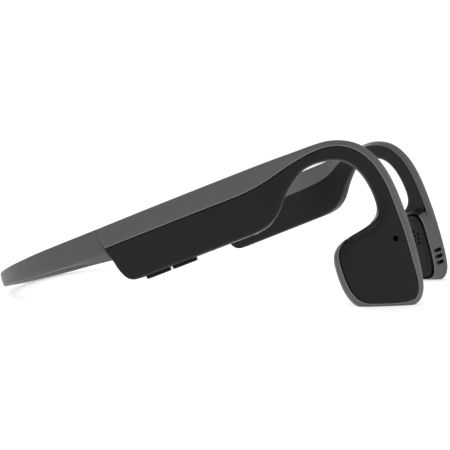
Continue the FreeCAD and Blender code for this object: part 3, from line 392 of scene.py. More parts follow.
# near-black gauze for the microphone meshes; also put on the rim band's hidden seam walls and tongue as painted shade
GAUZE_AND_SEAM_SHADE = mat("acoustic_gauze_black_and_painted_seam_shade", (0.0008, 0.0008, 0.0008), 0.85, spec=0.02, grain=3000, bump=0.12, vary=0.2, fleck=0.2)
INNER = mat("inner_plastic_dark", (0.02, 0.02, 0.021), 0.5, spec=0.35, grain=1200, bump=0.05, vary=0.12, fleck=0.1)
WIRE = mat("spring_wire_titanium", (0.52, 0.50, 0.48), 0.28, grain=2600, bump=0.05, vary=0.08, fleck=0.05, metal=1.0, aniso=0.5)
CABLE = mat("cable_jacket_black", (0.012, 0.012, 0.012), 0.45, grain=1500, bump=0.05, vary=0.15, fleck=0.1)
STEEL = mat("stamped_steel", (0.50, 0.50, 0.51), 0.30, grain=1900, bump=0.04, vary=0.06, fleck=0.04, metal=1.0, aniso=0.3)
MAGNET = mat("nickel_plating", (0.60, 0.59, 0.57), 0.22, grain=900, bump=0.02, vary=0.05, fleck=0.03, metal=1.0)
COPPER = mat("enamelled_copper", (0.60, 0.26, 0.12), 0.30, grain=3500, bump=0.20, vary=0.10, fleck=0.1, metal=1.0, coat=0.4)
BOARD = mat("solder_mask_green", (0.01, 0.075, 0.035), 0.35, grain=1200, bump=0.05, vary=0.18, fleck=0.12, coat=0.3)
POUCH = mat("battery_pouch_foil", (0.42, 0.43, 0.44), 0.34, grain=500, bump=0.15, vary=0.08, fleck=0.05, metal=0.9)
LAMP = mat("frosted_light_pipe", (0.55, 0.56, 0.55), 0.4, grain=1500, bump=0.03, vary=0.05, fleck=0.03)
CHIP = mat("component_epoxy_black", (0.015, 0.015, 0.015), 0.42, grain=1900, bump=0.08, vary=0.15, fleck=0.12)

SLOT_MAT = {"sleeve_grey": SLEEVE, "spine_grey": GREY, "cover_black": BLACK, "button_black": BUTTON, "pad_silicone": SILICONE, "seal_rubber": SEAL, "inner_plastic": INNER, "spring_wire": WIRE, "cable_jacket": CABLE, "steel": STEEL, "magnet_plating": MAGNET, "coil_copper": COPPER, "circuit_board": BOARD, "battery_pouch": POUCH, "lamp_clear": LAMP, "component_black": CHIP}
NODE_MAT = [("microphone_mesh", GAUZE_AND_SEAM_SHADE), ("sleeve", SLEEVE), ("spine", GREY), ("cover", BLACK), ("button", BUTTON), ("contact_pad", SILICONE), ("seal", SEAL), ("carrier", INNER), ("spring_wire", WIRE), ("cable", CABLE), ("yoke", STEEL), ("spring_plate", STEEL), ("magnet", MAGNET), ("coil", COPPER), ("board_screws", STEEL), ("board", BOARD), ("battery_cell", POUCH), ("lamp", LAMP), ("charging_port_cover", BUTTON), ("charging_port", STEEL), ("shield", STEEL), ("mesh", SEAL), ("dome", STEEL), ("switch", CHIP), ("antenna", CHIP), ("microphone", CHIP)]
for name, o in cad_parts.items():
    hits = [(len(k), m) for k, m in NODE_MAT if k in name]
    m = max(hits, key=lambda h: h[0])[1] if hits else INNER
    if not o.data.materials:
        o.data.materials.append(m)
    for sl in o.material_slots:
        sl.link = "OBJECT"
        sl.material = m

# ------------------------------------------------------------------ arm form
THICK = [(126, 10.5), (132, 9.6), (140, 6.8), (148, 4.5), (200, 4.5)]
EDGE = [(132, 6.3), (138, 5.4), (142.4, 4.2), (147, 2.9), (153, 2.0)]
TAPER = [(130, 1.15), (142, 0.0)]


def thick(s):
    return soft(s, THICK, 5.0)


def split(s):
    """Depth of the line where the outer and inner covers meet."""
    return soft(s, [(134, 5.1), (147, 2.4)], 4.0)


def taper(s, n):
    return soft(s, TAPER, 4.0) * np.clip((-6.3 - n) / 13.7, 0, 1.2)


top_line = np.stack([np.linspace(87.4, 149.5, 42), np.zeros(42)], -1)
hook_line, hook_u = even([(149.5, 0.0)] + TOP_RUN, 0.55, u0=0.0)
hook_u = hook_u - 1.0                       # index into TOP_RUN
outline = np.vstack([top_line, hook_line[1:]])
out_u = np.r_[np.linspace(-2.0, -1.0, 42), hook_u[1:]]
END_U = 25.2                                # where the grey rim runs out on the head's top edge
grey_n = int(np.searchsorted(out_u, END_U))
G = outline[:grey_n + 1]
GU = out_u[:grey_n + 1]
nrm = normals(outline, False)[:grey_n + 1]
nrm[:42] = (0, -1)
dark_curve = even(HOOK_DARK, 0.3)[0]
wd, _ = dist_to(G, dark_curve)
bay_w = soft(G[:, 0], EDGE, 3.0)
is_bay = GU <= 0.0
W = np.where(is_bay, bay_w, wd)
W = np.where(GU > 14.5, lay(GU, [(14.5, 1.75), (15.5, 1.6), (18, 1.5), (20, 1.35), (22, 1.25), (23, 1.1), (24, 0.75), (25.2, 0.15)]), W)
k0 = int(np.argmax(GU > 0.0))
for i in range(k0 - 6, k0 + 12):            # settle the two width laws into each other
    W[i] = W[i - 1] + np.clip(W[i] - W[i - 1], -0.12, 0.05)
W = np.convolve(np.pad(W, 3, mode="edge"), [1, 2, 3, 4, 3, 2, 1], "valid") / 16.0
W[-3:] = np.minimum(W[-3:], 0.2)
run_ = np.r_[0, np.cumsum(np.hypot(*np.diff(G, axis=0).T))]
fine_ = np.arange(run_[0], run_[-1], 0.25)
kern_ = np.exp(-0.5 * (np.arange(-16, 17) * 0.25 / 1.4) ** 2)
even_w = np.convolve(np.pad(np.interp(fine_, run_, W), 16, mode="edge"), kern_ / kern_.sum(), "valid")
mix_ = np.clip(2.0 - np.abs(G[:, 0] - 150.5) / 3.5, 0, 1) * (GU < 1.5)
W = W + (np.interp(run_, fine_, even_w) - W) * mix_
ZW = lay(GU, [(-2, 0), (15, 0), (18, 0.12), (20, 0.45), (23, 0.6), (24.5, 1.1), (25.2, 1.5)])
BOUND = G + nrm * W[:, None]
BOUND[0] = (89.1, BOUND[0, 1])
# the seam's rear end leans with the bay's rear edge
rear_shift = np.interp(-G[:, 1] - W, [0, 6.3], [0, 1.7])
BOUND[:8, 0] = G[:8, 0] + np.linspace(1.7, 0, 8) * 1.0

H1 = lay(GU, [(-1, 0), (40, 0)]) + np.where(is_bay, soft(G[:, 0], [(130, 3.2), (148, 2.0), (152, 1.85)], 4.0), 1.8)
H2 = np.where(is_bay, soft(G[:, 0], [(126, 6.6), (148, 3.4)], 4.0), 3.4)
a = np.where(is_bay, np.clip((G[:, 0] - 138.0) / 14.0, 0, 1), 1.0)
a = a * a * (3 - 2 * a)
WI = W * (1 - a) + 0.95 * a                  # inset and depth of the seam with the inner cover
TH = np.where(is_bay, thick(G[:, 0]), 4.5) * (1 - a) + 4.36 * a
HEADNESS = np.clip((GU - 9.2) / 0.6, 0, 1)  # 1 where the head's own rim takes over below the hook


def band_loop(side, i):
    w, zw, h1, h2, t, wi, hd = W[i], ZW[i], H1[i], H2[i], TH[i], WI[i], HEADNESS[i]
    hollow = 1.5 + 0.0 * i if is_bay[i] and G[i, 0] < 142 else w * 0.8
    k = max(0.12, min(1.0, w / 1.2))
    inn = min(hollow, w * 0.8) if not (is_bay[i] and G[i, 0] < 142) else 1.5
    deep = min(1.4, t - h2 + 0.35)
    inn = min(inn, wi - 0.08) if hd < 1 else inn
    c = [(w, zw), (0.0, max(h1, zw + 0.15)), (0.0, h2 * (1 - hd) + 3.0 * hd), (wi * (1 - hd) + 0.3 * hd, t * (1 - hd) + 3.05 * hd), (wi * (1 - hd) + w * hd, (t - 0.02) * (1 - hd) + 3.1 * hd),
         (wi * (1 - hd) + w * hd, (t - deep) * (1 - hd) + 2.7 * hd), (inn, (h2 - 0.4) * (1 - hd) + 2.7 * hd), (inn, max(h1, 1.85) + 0.6 * (1 - hd)),
         (w + 0.02 + 0.53 * (1 - hd), zw + 1.5 + 0.95 * (1 - hd)), (w + 0.02 + 0.53 * (1 - hd), zw + 1.45 + 0.5 * (1 - hd)), (w, zw + 1.4 + 0.5 * (1 - hd))]     # the last three form a tongue behind the seam
    r = [0.26 * k, 0.55 * k, 0.55, 0.16 if hd == 0 else 0.05, 0.0 if hd == 0 else 0.09, 0.0, 0.0, 0.0, 0.0, 0.0, 0.0]
    q = round_poly(c, r, 5)
    # a slight crown on the sloping facet between the seam and the outer corner
    p0, p1 = q[5], q[6]
    m = np.linspace(0, 1, 6)[1:-1]
    d = (p1 - p0)
    L = np.hypot(*d)
    out = np.array([d[1], -d[0]]) / max(L, 1e-6)
    if out[1] > 0:
        out = -out
    mid = np.array([p0 + d * f + out * (0.055 * L) * 4 * f * (1 - f) for f in m])
    q = np.vstack([q[:6], mid, q[6:]])
    s = G[i, 0] + nrm[i, 0] * q[:, 0]
    n = G[i, 1] + nrm[i, 1] * q[:, 0]
    if i < 8:
        s = s + np.interp(-n, [0, 3.2, 6.3], [0, 0.7, 1.7]) * (1 - i / 8.0)
    return dev(side, s, q[:, 1], n)


# ------------------------------------------------------------------ cover shells
def cover(name, side, region, edge_mask, outer, par, mat_):
    """Closed thin shell over a region of the developed plane. edge_mask marks silhouette samples; the rest is the seam with the grey rim."""
    P = np.array(region)
    k = len(P)
    area = 0.5 * np.sum(P[:, 0] * np.roll(P[:, 1], -1) - np.roll(P[:, 0], -1) * P[:, 1])
    N_ = normals(P, True) * (1 if area < 0 else -1)
    edge = np.array(edge_mask)
    rings = [0.05, 0.1, 0.17, 0.28, 0.42, 0.62, 0.9, 1.25, 1.45, 1.56, 2.1, 2.9, 3.9]
    pts, cons = [tuple(p) for p in P], [(i, (i + 1) % k) for i in range(k)]
    for d in rings:
        q = P + N_ * d
        dd, _ = dist_to(q, P, True)
        ok = dd > d * 0.985 - 1e-4
        if d > 1.6:
            ok &= (np.arange(k) % 2 == 0)
        idx = {}
        for i in np.nonzero(ok)[0]:
            idx[i] = len(pts)
            pts.append(tuple(q[i]))
        ks = sorted(idx)
        for u, v in zip(ks, ks[1:] + ks[:1]):
            gap = (v - u) % k
            if gap <= (4 if d > 1.6 else 3):
                cons.append((idx[u], idx[v]))
    lo, hi = P.min(0), P.max(0)
    gs, gn = np.meshgrid(np.arange(lo[0], hi[0], 1.7), np.arange(lo[1], hi[1], 1.7))
    gp = np.stack([gs.ravel(), gn.ravel()], -1)
    gp[:, 0] += (np.round((gp[:, 1] - lo[1]) / 1.7) % 2) * 0.85
    dd, _ = dist_to(gp, P, True)
    inside = np.array([point_in(p, P) for p in gp])
    gp = gp[inside & (dd > 4.6)]
    pts += [tuple(p) for p in gp]
    vs, es, fs, *_ = delaunay_2d_cdt([Vector(p) for p in pts], cons, [list(range(k))], 1, 1e-6)
    V2 = np.array([tuple(v) for v in vs])
    F = [tuple(f) for f in fs]
    # boundary loop in order
    count = {}
    for f in F:
        for u, v in zip(f, f[1:] + f[:1]):
            key = (min(u, v), max(u, v))
            count.setdefault(key, []).append((u, v))
    nxt = {e[0][0]: e[0][1] for e in count.values() if len(e) == 1}
    start = next(iter(nxt))
    loop = [start]
    while True:
        j = nxt[loop[-1]]
        if j == start:
            break
        loop.append(j)
    # distances to the silhouette part and the seam part
    runs = {True: [], False: []}
    for flag in (True, False):
        seg = [(i, (i + 1) % k) for i in range(k) if edge[i] == flag and edge[(i + 1) % k] == flag]
        runs[flag] = seg
    def seg_dist(seg):
        if not seg:
            return np.full(len(V2), 99.0), np.zeros(len(V2))
        A = np.array([P[i] for i, _ in seg]); B = np.array([P[j] for _, j in seg])
        I = np.array([i for i, _ in seg], float)
        best, idx = np.full(len(V2), 1e9), np.zeros(len(V2))
        ab = B - A
        L = np.maximum((ab ** 2).sum(1), 1e-12)
        for c in range(0, len(V2), 1500):
            q = V2[c:c + 1500, None, :] - A[None]
            t = np.clip((q * ab[None]).sum(2) / L, 0, 1)
            e = np.hypot(*(np.moveaxis(q - t[..., None] * ab[None], -1, 0)))
            j = e.argmin(1)
            r = np.arange(len(j))
            best[c:c + 1500], idx[c:c + 1500] = e[r, j], I[j] + t[r, j]
        return best, idx
    de, ie = seg_dist(runs[True])
    ds, is_ = seg_dist(runs[False])
    R = np.interp(ie, np.arange(k), par["R"])
    ZR = np.interp(ie, np.arange(k), par["ZR"])
    SR = np.interp(is_, np.arange(k), par["SR"])
    SZ = np.interp(is_, np.arange(k), par["SZ"])
    u = np.clip(1 - de / R, 0, 1)
    dip = ZR * (1 - np.sqrt(np.maximum(0, 1 - u * u)))
    v = np.clip(1 - ds / np.maximum(SR, 0.05), 0, 1)
    dip = dip + SZ * v * v
    g = 0.11
    gv = np.clip(1 - ds / g, 0, 1)
    dip = dip + g * (1 - np.sqrt(np.maximum(0, 1 - gv * gv)))
    s, n = V2[:, 0], V2[:, 1]
    zs = split(s) if outer else split(s)
    if outer:
        face = taper(s, n)
        zt = np.minimum(face + dip, np.where(de < 1e-4, zs - 0.12, 99))
        floor_ = face + soft(s, [(130, 1.4), (148, 1.75)], 4)
        floor_ = np.maximum(floor_, face + SZ * v * v + 1.2)
        lip = de < 1.5
        zb = np.where(lip, zs - 0.015, np.minimum(floor_, zs - 0.1))
    else:
        face = thick(s) - taper(s, n)
        zt = np.maximum(face - dip, np.where(de < 1e-4, zs + 0.12, -99))
        floor_ = face - soft(s, [(130, 1.4), (148, 1.75)], 4)
        lip = de < 1.5
        zb = np.where(lip, zs + 0.015, np.maximum(floor_, zs + 0.1))
    top = dev(side, s, zt, n)
    bs, bn = s.copy(), n.copy()
    kk = len(V2)
    Vn = {}
    L = np.array(loop)
    cen_n = normals(V2[L], True)
    ar = 0.5 * np.sum(V2[L, 0] * np.roll(V2[L, 1], -1) - np.roll(V2[L, 0], -1) * V2[L, 1])
    cen_n = cen_n * (1 if ar < 0 else -1)
    bs[L] += cen_n[:, 0] * 0.035
    bn[L] += cen_n[:, 1] * 0.035
    bot = dev(side, bs, zb, bn)
    row_z = np.where(de[L] < 1e-4, zs[L] + (-0.1 if outer else 0.1), zb[L] + (-0.05 if outer else 0.05))
    row = dev(side, V2[L, 0], row_z, V2[L, 1])
    verts = np.vstack([top, bot, row])
    faces = [f for f in F] + [tuple(kk + i for i in reversed(f)) for f in F]
    m = len(L)
    for i in range(m):
        j = (i + 1) % m
        a_, b_ = int(L[i]), int(L[j])
        faces.append((b_, a_, 2 * kk + i, 2 * kk + j))
        faces.append((2 * kk + j, 2 * kk + i, kk + a_, kk + b_))
    return make(name, verts, faces, mat_, sharp=42.0)


def point_in(p, poly):
    x, y = p
    inside = False
    a = poly
    b = np.roll(poly, -1, 0)
    c = (a[:, 1] > y) != (b[:, 1] > y)
    xs = a[c, 0] + (y - a[c, 1]) * (b[c, 0] - a[c, 0]) / (b[c, 1] - a[c, 1])
    return bool((xs > x).sum() % 2)


# dark silhouette from the end of the grey rim, round the hook's inside, the bay's front, bottom and rear
dark_pts, dark_u = even(TOP_RUN, 0.55, u0=END_U)
front_pts, _ = even([TOP_RUN[-1]] + BAY_FRONT, 0.6)
bottom_pts = np.stack([np.linspace(130.5, 94.4, 26), np.full(26, -17.5)], -1)
rear_pts, _ = even(BAY_REAR, 0.5)
DARK = np.vstack([dark_pts, front_pts[1:], bottom_pts[1:-1], rear_pts])
DU = np.r_[dark_u, np.linspace(39.0, 47.0, len(front_pts) - 1), np.linspace(47.2, 53.8, 24), np.linspace(54.0, 60.0, len(rear_pts))]
R_LAW = [(25.2, 1.9), (26.5, 2.6), (28.5, 3.2), (30.0, 3.2), (31.5, 2.4), (33.0, 1.8), (36.0, 1.4), (39.0, 1.3), (45.0, 1.2), (47.0, 1.4), (53.8, 1.6), (55.5, 0.8), (57.0, 0.4), (60.0, 0.25)]
Z_LAW = [(25.2, 1.5), (26.5, 1.9), (28.5, 2.3), (30.0, 2.2), (31.5, 1.9), (33.0, 2.1), (36.0, 2.2), (39.0, 2.2), (45.0, 2.0), (47.0, 1.5), (53.8, 1.4), (55.5, 0.7), (57.0, 0.35), (60.0, 0.25)]
RI_LAW = [(25.2, 1.6), (28.0, 1.6), (31.0, 2.0), (38.0, 2.0), (42.0, 2.6), (45.0, 2.6), (47.0, 1.6), (53.8, 1.6), (55.5, 0.8), (57.0, 0.4), (60.0, 0.25)]
ZI_LAW = [(25.2, 1.2), (28.0, 1.4), (31.0, 1.85), (38.0, 1.85), (42.0, 2.5), (45.0, 2.5), (47.0, 1.4), (53.8, 1.4), (55.5, 0.7), (57.0, 0.35), (60.0, 0.25)]

GAP = 0.24
B_in = BOUND + normals(BOUND, False) * GAP
B_in[:, 1] = np.minimum(B_in[:, 1], BOUND[:, 1] - 0.0)
B_in[0] = (89.1 + 0.03, -6.35)
B_deep = G + nrm * (WI + 0.14)[:, None]
B_deep[:8] = B_in[:8]


def rim_samples(upto, line=None):
    q = (B_in if line is None else line)[:upto]
    keep = [0]
    for i in range(1, len(q)):
        if np.hypot(*(q[i] - q[keep[-1]])) > 0.28:
            keep.append(i)
    return q[keep], GU[:upto][keep]


def outer_region():
    b, bu = rim_samples(len(B_in) - 1)
    d = DARK[1:-1]
    du = DU[1:-1]
    P = np.vstack([b, d])
    edge = np.r_[np.zeros(len(b), bool), np.ones(len(d), bool)]
    R = np.r_[np.full(len(b), 1.0), lay(du, R_LAW)]
    Z = np.r_[np.full(len(b), 1.0), lay(du, Z_LAW)]
    SZ = np.r_[lay(bu, [(-2, 0), (15, 0), (18, 0.12), (20, 0.45), (23, 0.6), (24.5, 1.1), (25.2, 1.5)]), np.zeros(len(d))]
    SR = np.r_[lay(bu, [(-2, 0.3), (15, 0.3), (18, 1.2), (20, 3.0), (24.5, 3.0), (25.2, 2.2)]), np.full(len(d), 0.3)]
    return P, edge, dict(R=R, ZR=Z, SR=SR, SZ=SZ)


def inner_region():
    cut = int(np.searchsorted(GU, 8.6))
    b, bu = rim_samples(cut, B_deep)
    tail = even([b[-1], (170.7, -28.2)], 0.5)[0][1:]
    end = np.stack([np.linspace(170.2, 162.4, 13), np.linspace(-28.3, -27.6, 13)], -1)
    k = int(np.searchsorted(DU, 27.6))
    d, du = DARK[k:-1], DU[k:-1]
    P = np.vstack([b, tail, end, d])
    edge = np.r_[np.zeros(len(b) + len(tail) + len(end), bool), np.ones(len(d), bool)]
    m = len(b) + len(tail) + len(end)
    R = np.r_[np.full(m, 1.0), lay(du, RI_LAW)]
    Z = np.r_[np.full(m, 1.0), lay(du, ZI_LAW)]
    SR, SZ = np.full(len(P), 0.3), np.zeros(len(P))
    SR[:len(b)] = lay(bu, [(-2, 0.3), (-1.2, 0.3), (0.0, 0.4), (9, 0.4)])
    SZ[:len(b)] = lay(bu, [(-2, 0.0), (-1.2, 0.0), (0.0, 0.08), (9, 0.08)])
    return P, edge, dict(R=R, ZR=Z, SR=SR, SZ=SZ)


def box_cutter(side, s, z, n, ls, lz, ln, r=0.0):
    """Closed block in developed directions for cutting openings; corners rounded in the s-z plane."""
    hs, hz = ls / 2, lz / 2
    q = round_poly([(-hs, -hz), (hs, -hz), (hs, hz), (-hs, hz)], [max(r, 1e-3)] * 4, 5)
    loops = [dev(side, s + q[:, 0], z + q[:, 1], n + h) for h in (-ln / 2, ln / 2)]
    o = loft("cutter", loops, BLACK, weighted=False, sharp=None)
    return o


def round_cutter(side, s, n, r, z0, z1, k=28, squash=1.0):
    a_ = np.linspace(0, 2 * math.pi, k, endpoint=False)
    loops = [dev(side, s + r * np.cos(a_), z, n + squash * r * np.sin(a_)) for z in (z0, z1)]
    return loft("cutter", loops, BLACK, weighted=False, sharp=None)


# ------------------------------------------------------------------ neckband sleeve
SL = dict(
    low=[(0, 3.6), (30, 3.9), (51, 4.8), (60, 5.75), (67.6, 6.5), (74, 7.05), (79.5, 7.95), (84.1, 8.95), (88, 9.6), (91, 10.2)],
    crease=[(0, 3.1), (30, 3.4), (51, 4.6), (60, 5.6), (67.6, 6.4), (74, 6.9), (88, 7.7), (91, 7.9)],
    th=[(0, 3.0), (50, 3.0), (60, 3.7), (70, 5.4), (80, 8.4), (88, 10.3), (91, 10.5)],
    p0=[(0, 0.5), (50, 0.6), (70, 1.8), (88, 3.2)],
    p1=[(0, 2.5), (50, 2.4), (70, 3.8), (88, 6.6)],
    e=[(0, 0.6), (50, 1.2), (88, 6.2)],
    lo=[(0, 0.5), (50, 0.5), (88, 1.7)])


def sleeve_loop(side, s):
    a_ = abs(s)
    half = float(lay(a_, [(0, 5.0), (76, 5.0), (86, 1.0), (90, 0.3)]))
    v = {k: float(soft(a_, t, max(half, 0.2))) for k, t in SL.items()}
    f = float(lay(a_, [(0, 0.0), (45, 0.0), (80, 1.0)]))
    rise = float(lay(a_, [(0, 0.0), (46, 0.0), (56, 0.3), (84, 0.3), (91, 0.15)])) * (v["th"] - 2 * v["lo"])
    # the outer face runs in one slope from the top edge to the crease
    c = [(v["p0"] * f + 0.3 * (1 - f), 0.0), (v["p1"], 0.0), (v["th"], -v["e"]), (v["th"], -max(v["e"] + 0.3, v["crease"] - rise)), (v["th"] - v["lo"], -max(v["e"] + 0.5, v["low"] - rise)), (v["lo"], -v["low"]), (0.0, -v["crease"]), (0.0, -v["crease"] * (0.5 + 0.45 * f))]
    rr = [0.5, 0.75 - 0.2 * f, 0.9, 0.9, 0.8, 0.6, 0.35, 0.2]
    q = round_poly(c, rr, 4)
    shr = float(lay(a_, [(0, 0.0), (87.3, 0.0), (87.75, 0.04), (87.9, 0.14), (88.0, 0.34)]))
    cen = q.mean(0)
    q = q + (cen - q) * (shr / 5.0)
    ss = np.full(len(q), float(s))
    if a_ > 70:
        w_ = (a_ - 70) / 18.0
        target = np.interp(q[:, 1], [p[0] for p in REAR_S], [p[1] for p in REAR_S]) - 0.07
        ss = np.sign(s) * (a_ + (target - 88.0) * min(1, w_) ** 2)
    return dev(side, ss, q[:, 0], q[:, 1])


def half_sleeve(name, side):
    st = np.r_[np.linspace(0, 30, 16), np.linspace(31.5, 74, 30), np.linspace(75, 87.2, 14), [87.5, 87.75, 87.9, 88.0]]
    full = np.r_[[-4, -2], st]
    loops = np.array([sleeve_loop(side, s) for s in full])
    m, k = loops.shape[:2]
    # surface normals from the whole band, so that the two halves shade as one where they meet
    du = np.gradient(loops, axis=0)
    dv = np.roll(loops, -1, 1) - np.roll(loops, 1, 1)
    nn = np.cross(du, dv)
    nn /= np.linalg.norm(nn, axis=2)[..., None] + 1e-12
    cen = loops.mean(1)[:, None, :]
    sg = np.sign(((loops - cen) * nn).sum(2).mean())
    nn = nn * sg
    loops, nn = loops[2:], nn[2:]
    m = len(loops)
    faces = []
    for i in range(m - 1):
        a_, b_ = i * k, (i + 1) * k
        for j in range(k):
            f = (a_ + j, a_ + (j + 1) % k, b_ + (j + 1) % k, b_ + j)
            faces.append(f)
    caps = [tuple(range(k)), tuple((m - 1) * k + j for j in reversed(range(k)))]
    me = bpy.data.meshes.new(name)
    me.from_pydata([tuple(v) for v in loops.reshape(-1, 3)], [], faces + caps)
    me.materials.append(SLEEVE)
    bm = bmesh.new()
    bm.from_mesh(me)
    bmesh.ops.recalc_face_normals(bm, faces=bm.faces)
    bm.to_mesh(me)
    bm.free()
    me.shade_smooth()
    flat_n = nn.reshape(-1, 3)
    ln = []
    for p in me.polygons:
        if len(p.vertices) > 4:
            ln += [tuple(p.normal)] * len(p.vertices)
        else:
            ln += [tuple(flat_n[v]) for v in p.vertices]
    me.normals_split_custom_set(ln)
    o = bpy.data.objects.new(name, me)
    bpy.context.scene.collection.objects.link(o)
    return o


def at(side, s, z, n):
    return tuple(dev(side, s, z, n))


# ------------------------------------------------------------------ build both arms
PAD_K = 0.9


def inset_ctrl(pts, dist):
    out, k = [], len(pts)
    dist = dist if isinstance(dist, list) else [dist] * k
    for i, p in enumerate(pts):
        a_, b_ = pts[(i - 1) % k], pts[(i + 1) % k]
        dx, dy = b_[0] - a_[0], b_[1] - a_[1]
        m = math.hypot(dx, dy)
        out.append((p[0] + dy / m * dist[i], p[1] - dx / m * dist[i]))
    return out


HEAD_REAR = [0.7, 0.4, 0.1] + [0.0] * 13 + [0.3, 0.6, 0.9, 1.0, 1.0, 0.9]     # where the head's wall leans in


def ring_at(d, u, lean=0.0):
    return spline(inset_ctrl(HEAD_RUN, [d + lean * k for k in HEAD_REAR]), True)[0](u)


def bezel(name, side):
    """Raised rim round the transducer's opening."""
    _, uu = even(HEAD_RUN, 0.55, True)
    c = [(0.0, 3.02), (0.35, 3.3), (1.5, 6.62), (1.68, 6.8), (1.82, 6.76), (1.92, 6.68), (2.0, 6.55), (2.04, 5.2), (1.9, 4.9), (1.5, 3.02)]
    q = round_poly(c, [0.08, 0.6, 0.12, 0.05, 0.05, 0.05, 0.05, 0.0, 0.0, 0.0], 5)
    lean = np.repeat([0.0, 0.0, 0.12, 0.1, 0.1, 0.05, 0.0, 0.0, 0.0, 0.0], 6)
    loops = np.zeros((len(uu), len(q), 3))
    for j, (d, z) in enumerate(q):
        p = ring_at(float(d), uu, float(lean[j]))
        loops[:, j] = dev(side, p[:, 0], float(z), p[:, 1])
    # the lip round the pad and the upper wall, which runs on from the hook, are dark; the side walls are grey, with a
    # lighter grey band on their top corner as a painted highlight
    fm = [1 if uu[i] < 6.1 or uu[i] > 24.0 or 24 <= j <= 46 else (2 if 15 <= j < 24 else 0) for i in range(len(uu)) for j in range(len(q))]
    return loft(name, loops, [GREY, BLACK, GREY_EDGE_HIGHLIGHT], closed=True, face_mats=fm)


def pad_mesh(name, side):
    """Crowned silicone pad with a raised lip, a shallow groove and a field of dimples."""
    base = even([(HEAD_S + (s - HEAD_S) * PAD_K, HEAD_N + (n - HEAD_N) * PAD_K) for s, n in inset_ctrl(HEAD_RUN, 1.5)], 0.45, True)[0]
    c = np.array([HEAD_S, HEAD_N])
    ks = [1.0, 0.995, 0.985, 0.97, 0.955, 0.94, 0.93, 0.92, 0.91, 0.895, 0.87, 0.8, 0.65, 0.45, 0.3, 0.15]
    prof = [(0.0, 7.70), (0.45, 7.69), (0.65, 7.66), (0.8, 7.61), (0.87, 7.56), (0.895, 7.5), (0.91, 7.35), (0.92, 7.27), (0.93, 7.27), (0.94, 7.38), (0.955, 7.48), (0.97, 7.5), (0.985, 7.4), (0.995, 7.12), (1.0, 6.85)]
    pts, cons = [], []
    m = len(base)
    for k_ in ks:
        step = 1 if k_ > 0.75 else (2 if k_ > 0.5 else 4)
        ids = []
        for i in range(0, m, step):
            ids.append(len(pts))
            pts.append(tuple(c + (base[i] - c) * k_))
        cons += list(zip(ids, ids[1:] + ids[:1]))
    pts.append(tuple(c))
    dim = [(167.85 - 1.46 * j - 0.40 * k, -34.55 + 0.40 * j - 1.50 * k) for j in range(5) for k in ((0, 1, 2) if j % 2 == 0 else (-0.5, 0.5, 1.5, 2.5))]
    for d in dim:
        for r_, kk in ((0.56, 14), (0.48, 14), (0.38, 10), (0.2, 6)):
            a_ = np.linspace(0, 2 * math.pi, kk, endpoint=False)
            ids = list(range(len(pts), len(pts) + kk))
            pts += [(d[0] + r_ * math.cos(x), d[1] + r_ * math.sin(x)) for x in a_]
            cons += list(zip(ids, ids[1:] + ids[:1]))
        pts.append(d)
    vs, es, fs, *_ = delaunay_2d_cdt([Vector(p) for p in pts], cons, [list(range(m))], 1, 1e-6)
    V2 = np.array([tuple(v) for v in vs])
    q = V2 - c
    ang = np.arctan2(q[:, 1], q[:, 0])
    bq = base - c
    ba = np.arctan2(bq[:, 1], bq[:, 0])
    o_ = np.argsort(ba)
    br = np.interp(ang, ba[o_], np.hypot(*bq.T)[o_], period=2 * math.pi)
    kk = np.clip(np.hypot(*q.T) / br, 0, 1)
    z = np.interp(kk, [p[0] for p in prof], [p[1] for p in prof])
    for d in dim:
        r_ = np.hypot(V2[:, 0] - d[0], V2[:, 1] - d[1])
        z = z - 0.7 * np.clip(1 - (r_ / 0.52) ** 2, 0, 1) ** 0.5
    F = [tuple(f) for f in fs]
    count = {}
    for f in F:
        for u, v in zip(f, f[1:] + f[:1]):
            count.setdefault((min(u, v), max(u, v)), []).append((u, v))
    nxt = {e[0][0]: e[0][1] for e in count.values() if len(e) == 1}
    loop = [next(iter(nxt))]
    while nxt[loop[-1]] != loop[0]:
        loop.append(nxt[loop[-1]])
    top = dev(side, V2[:, 0], z, V2[:, 1])
    L = np.array(loop)
    n0 = len(V2)
    row1 = dev(side, V2[L, 0], 6.4, V2[L, 1])
    row2 = dev(side, c[0] + (V2[L, 0] - c[0]) * 0.99, 6.32, c[1] + (V2[L, 1] - c[1]) * 0.99)
    verts = np.vstack([top, row1, row2])
    m2 = len(L)
    faces = list(F)
    for i in range(m2):
        j = (i + 1) % m2
        faces.append((int(L[j]), int(L[i]), n0 + i, n0 + j))
        faces.append((n0 + j, n0 + i, n0 + m2 + i, n0 + m2 + j))
    faces.append(tuple(n0 + m2 + i for i in range(m2)))
    return make(name, verts, faces, SILICONE, sharp=50.0)


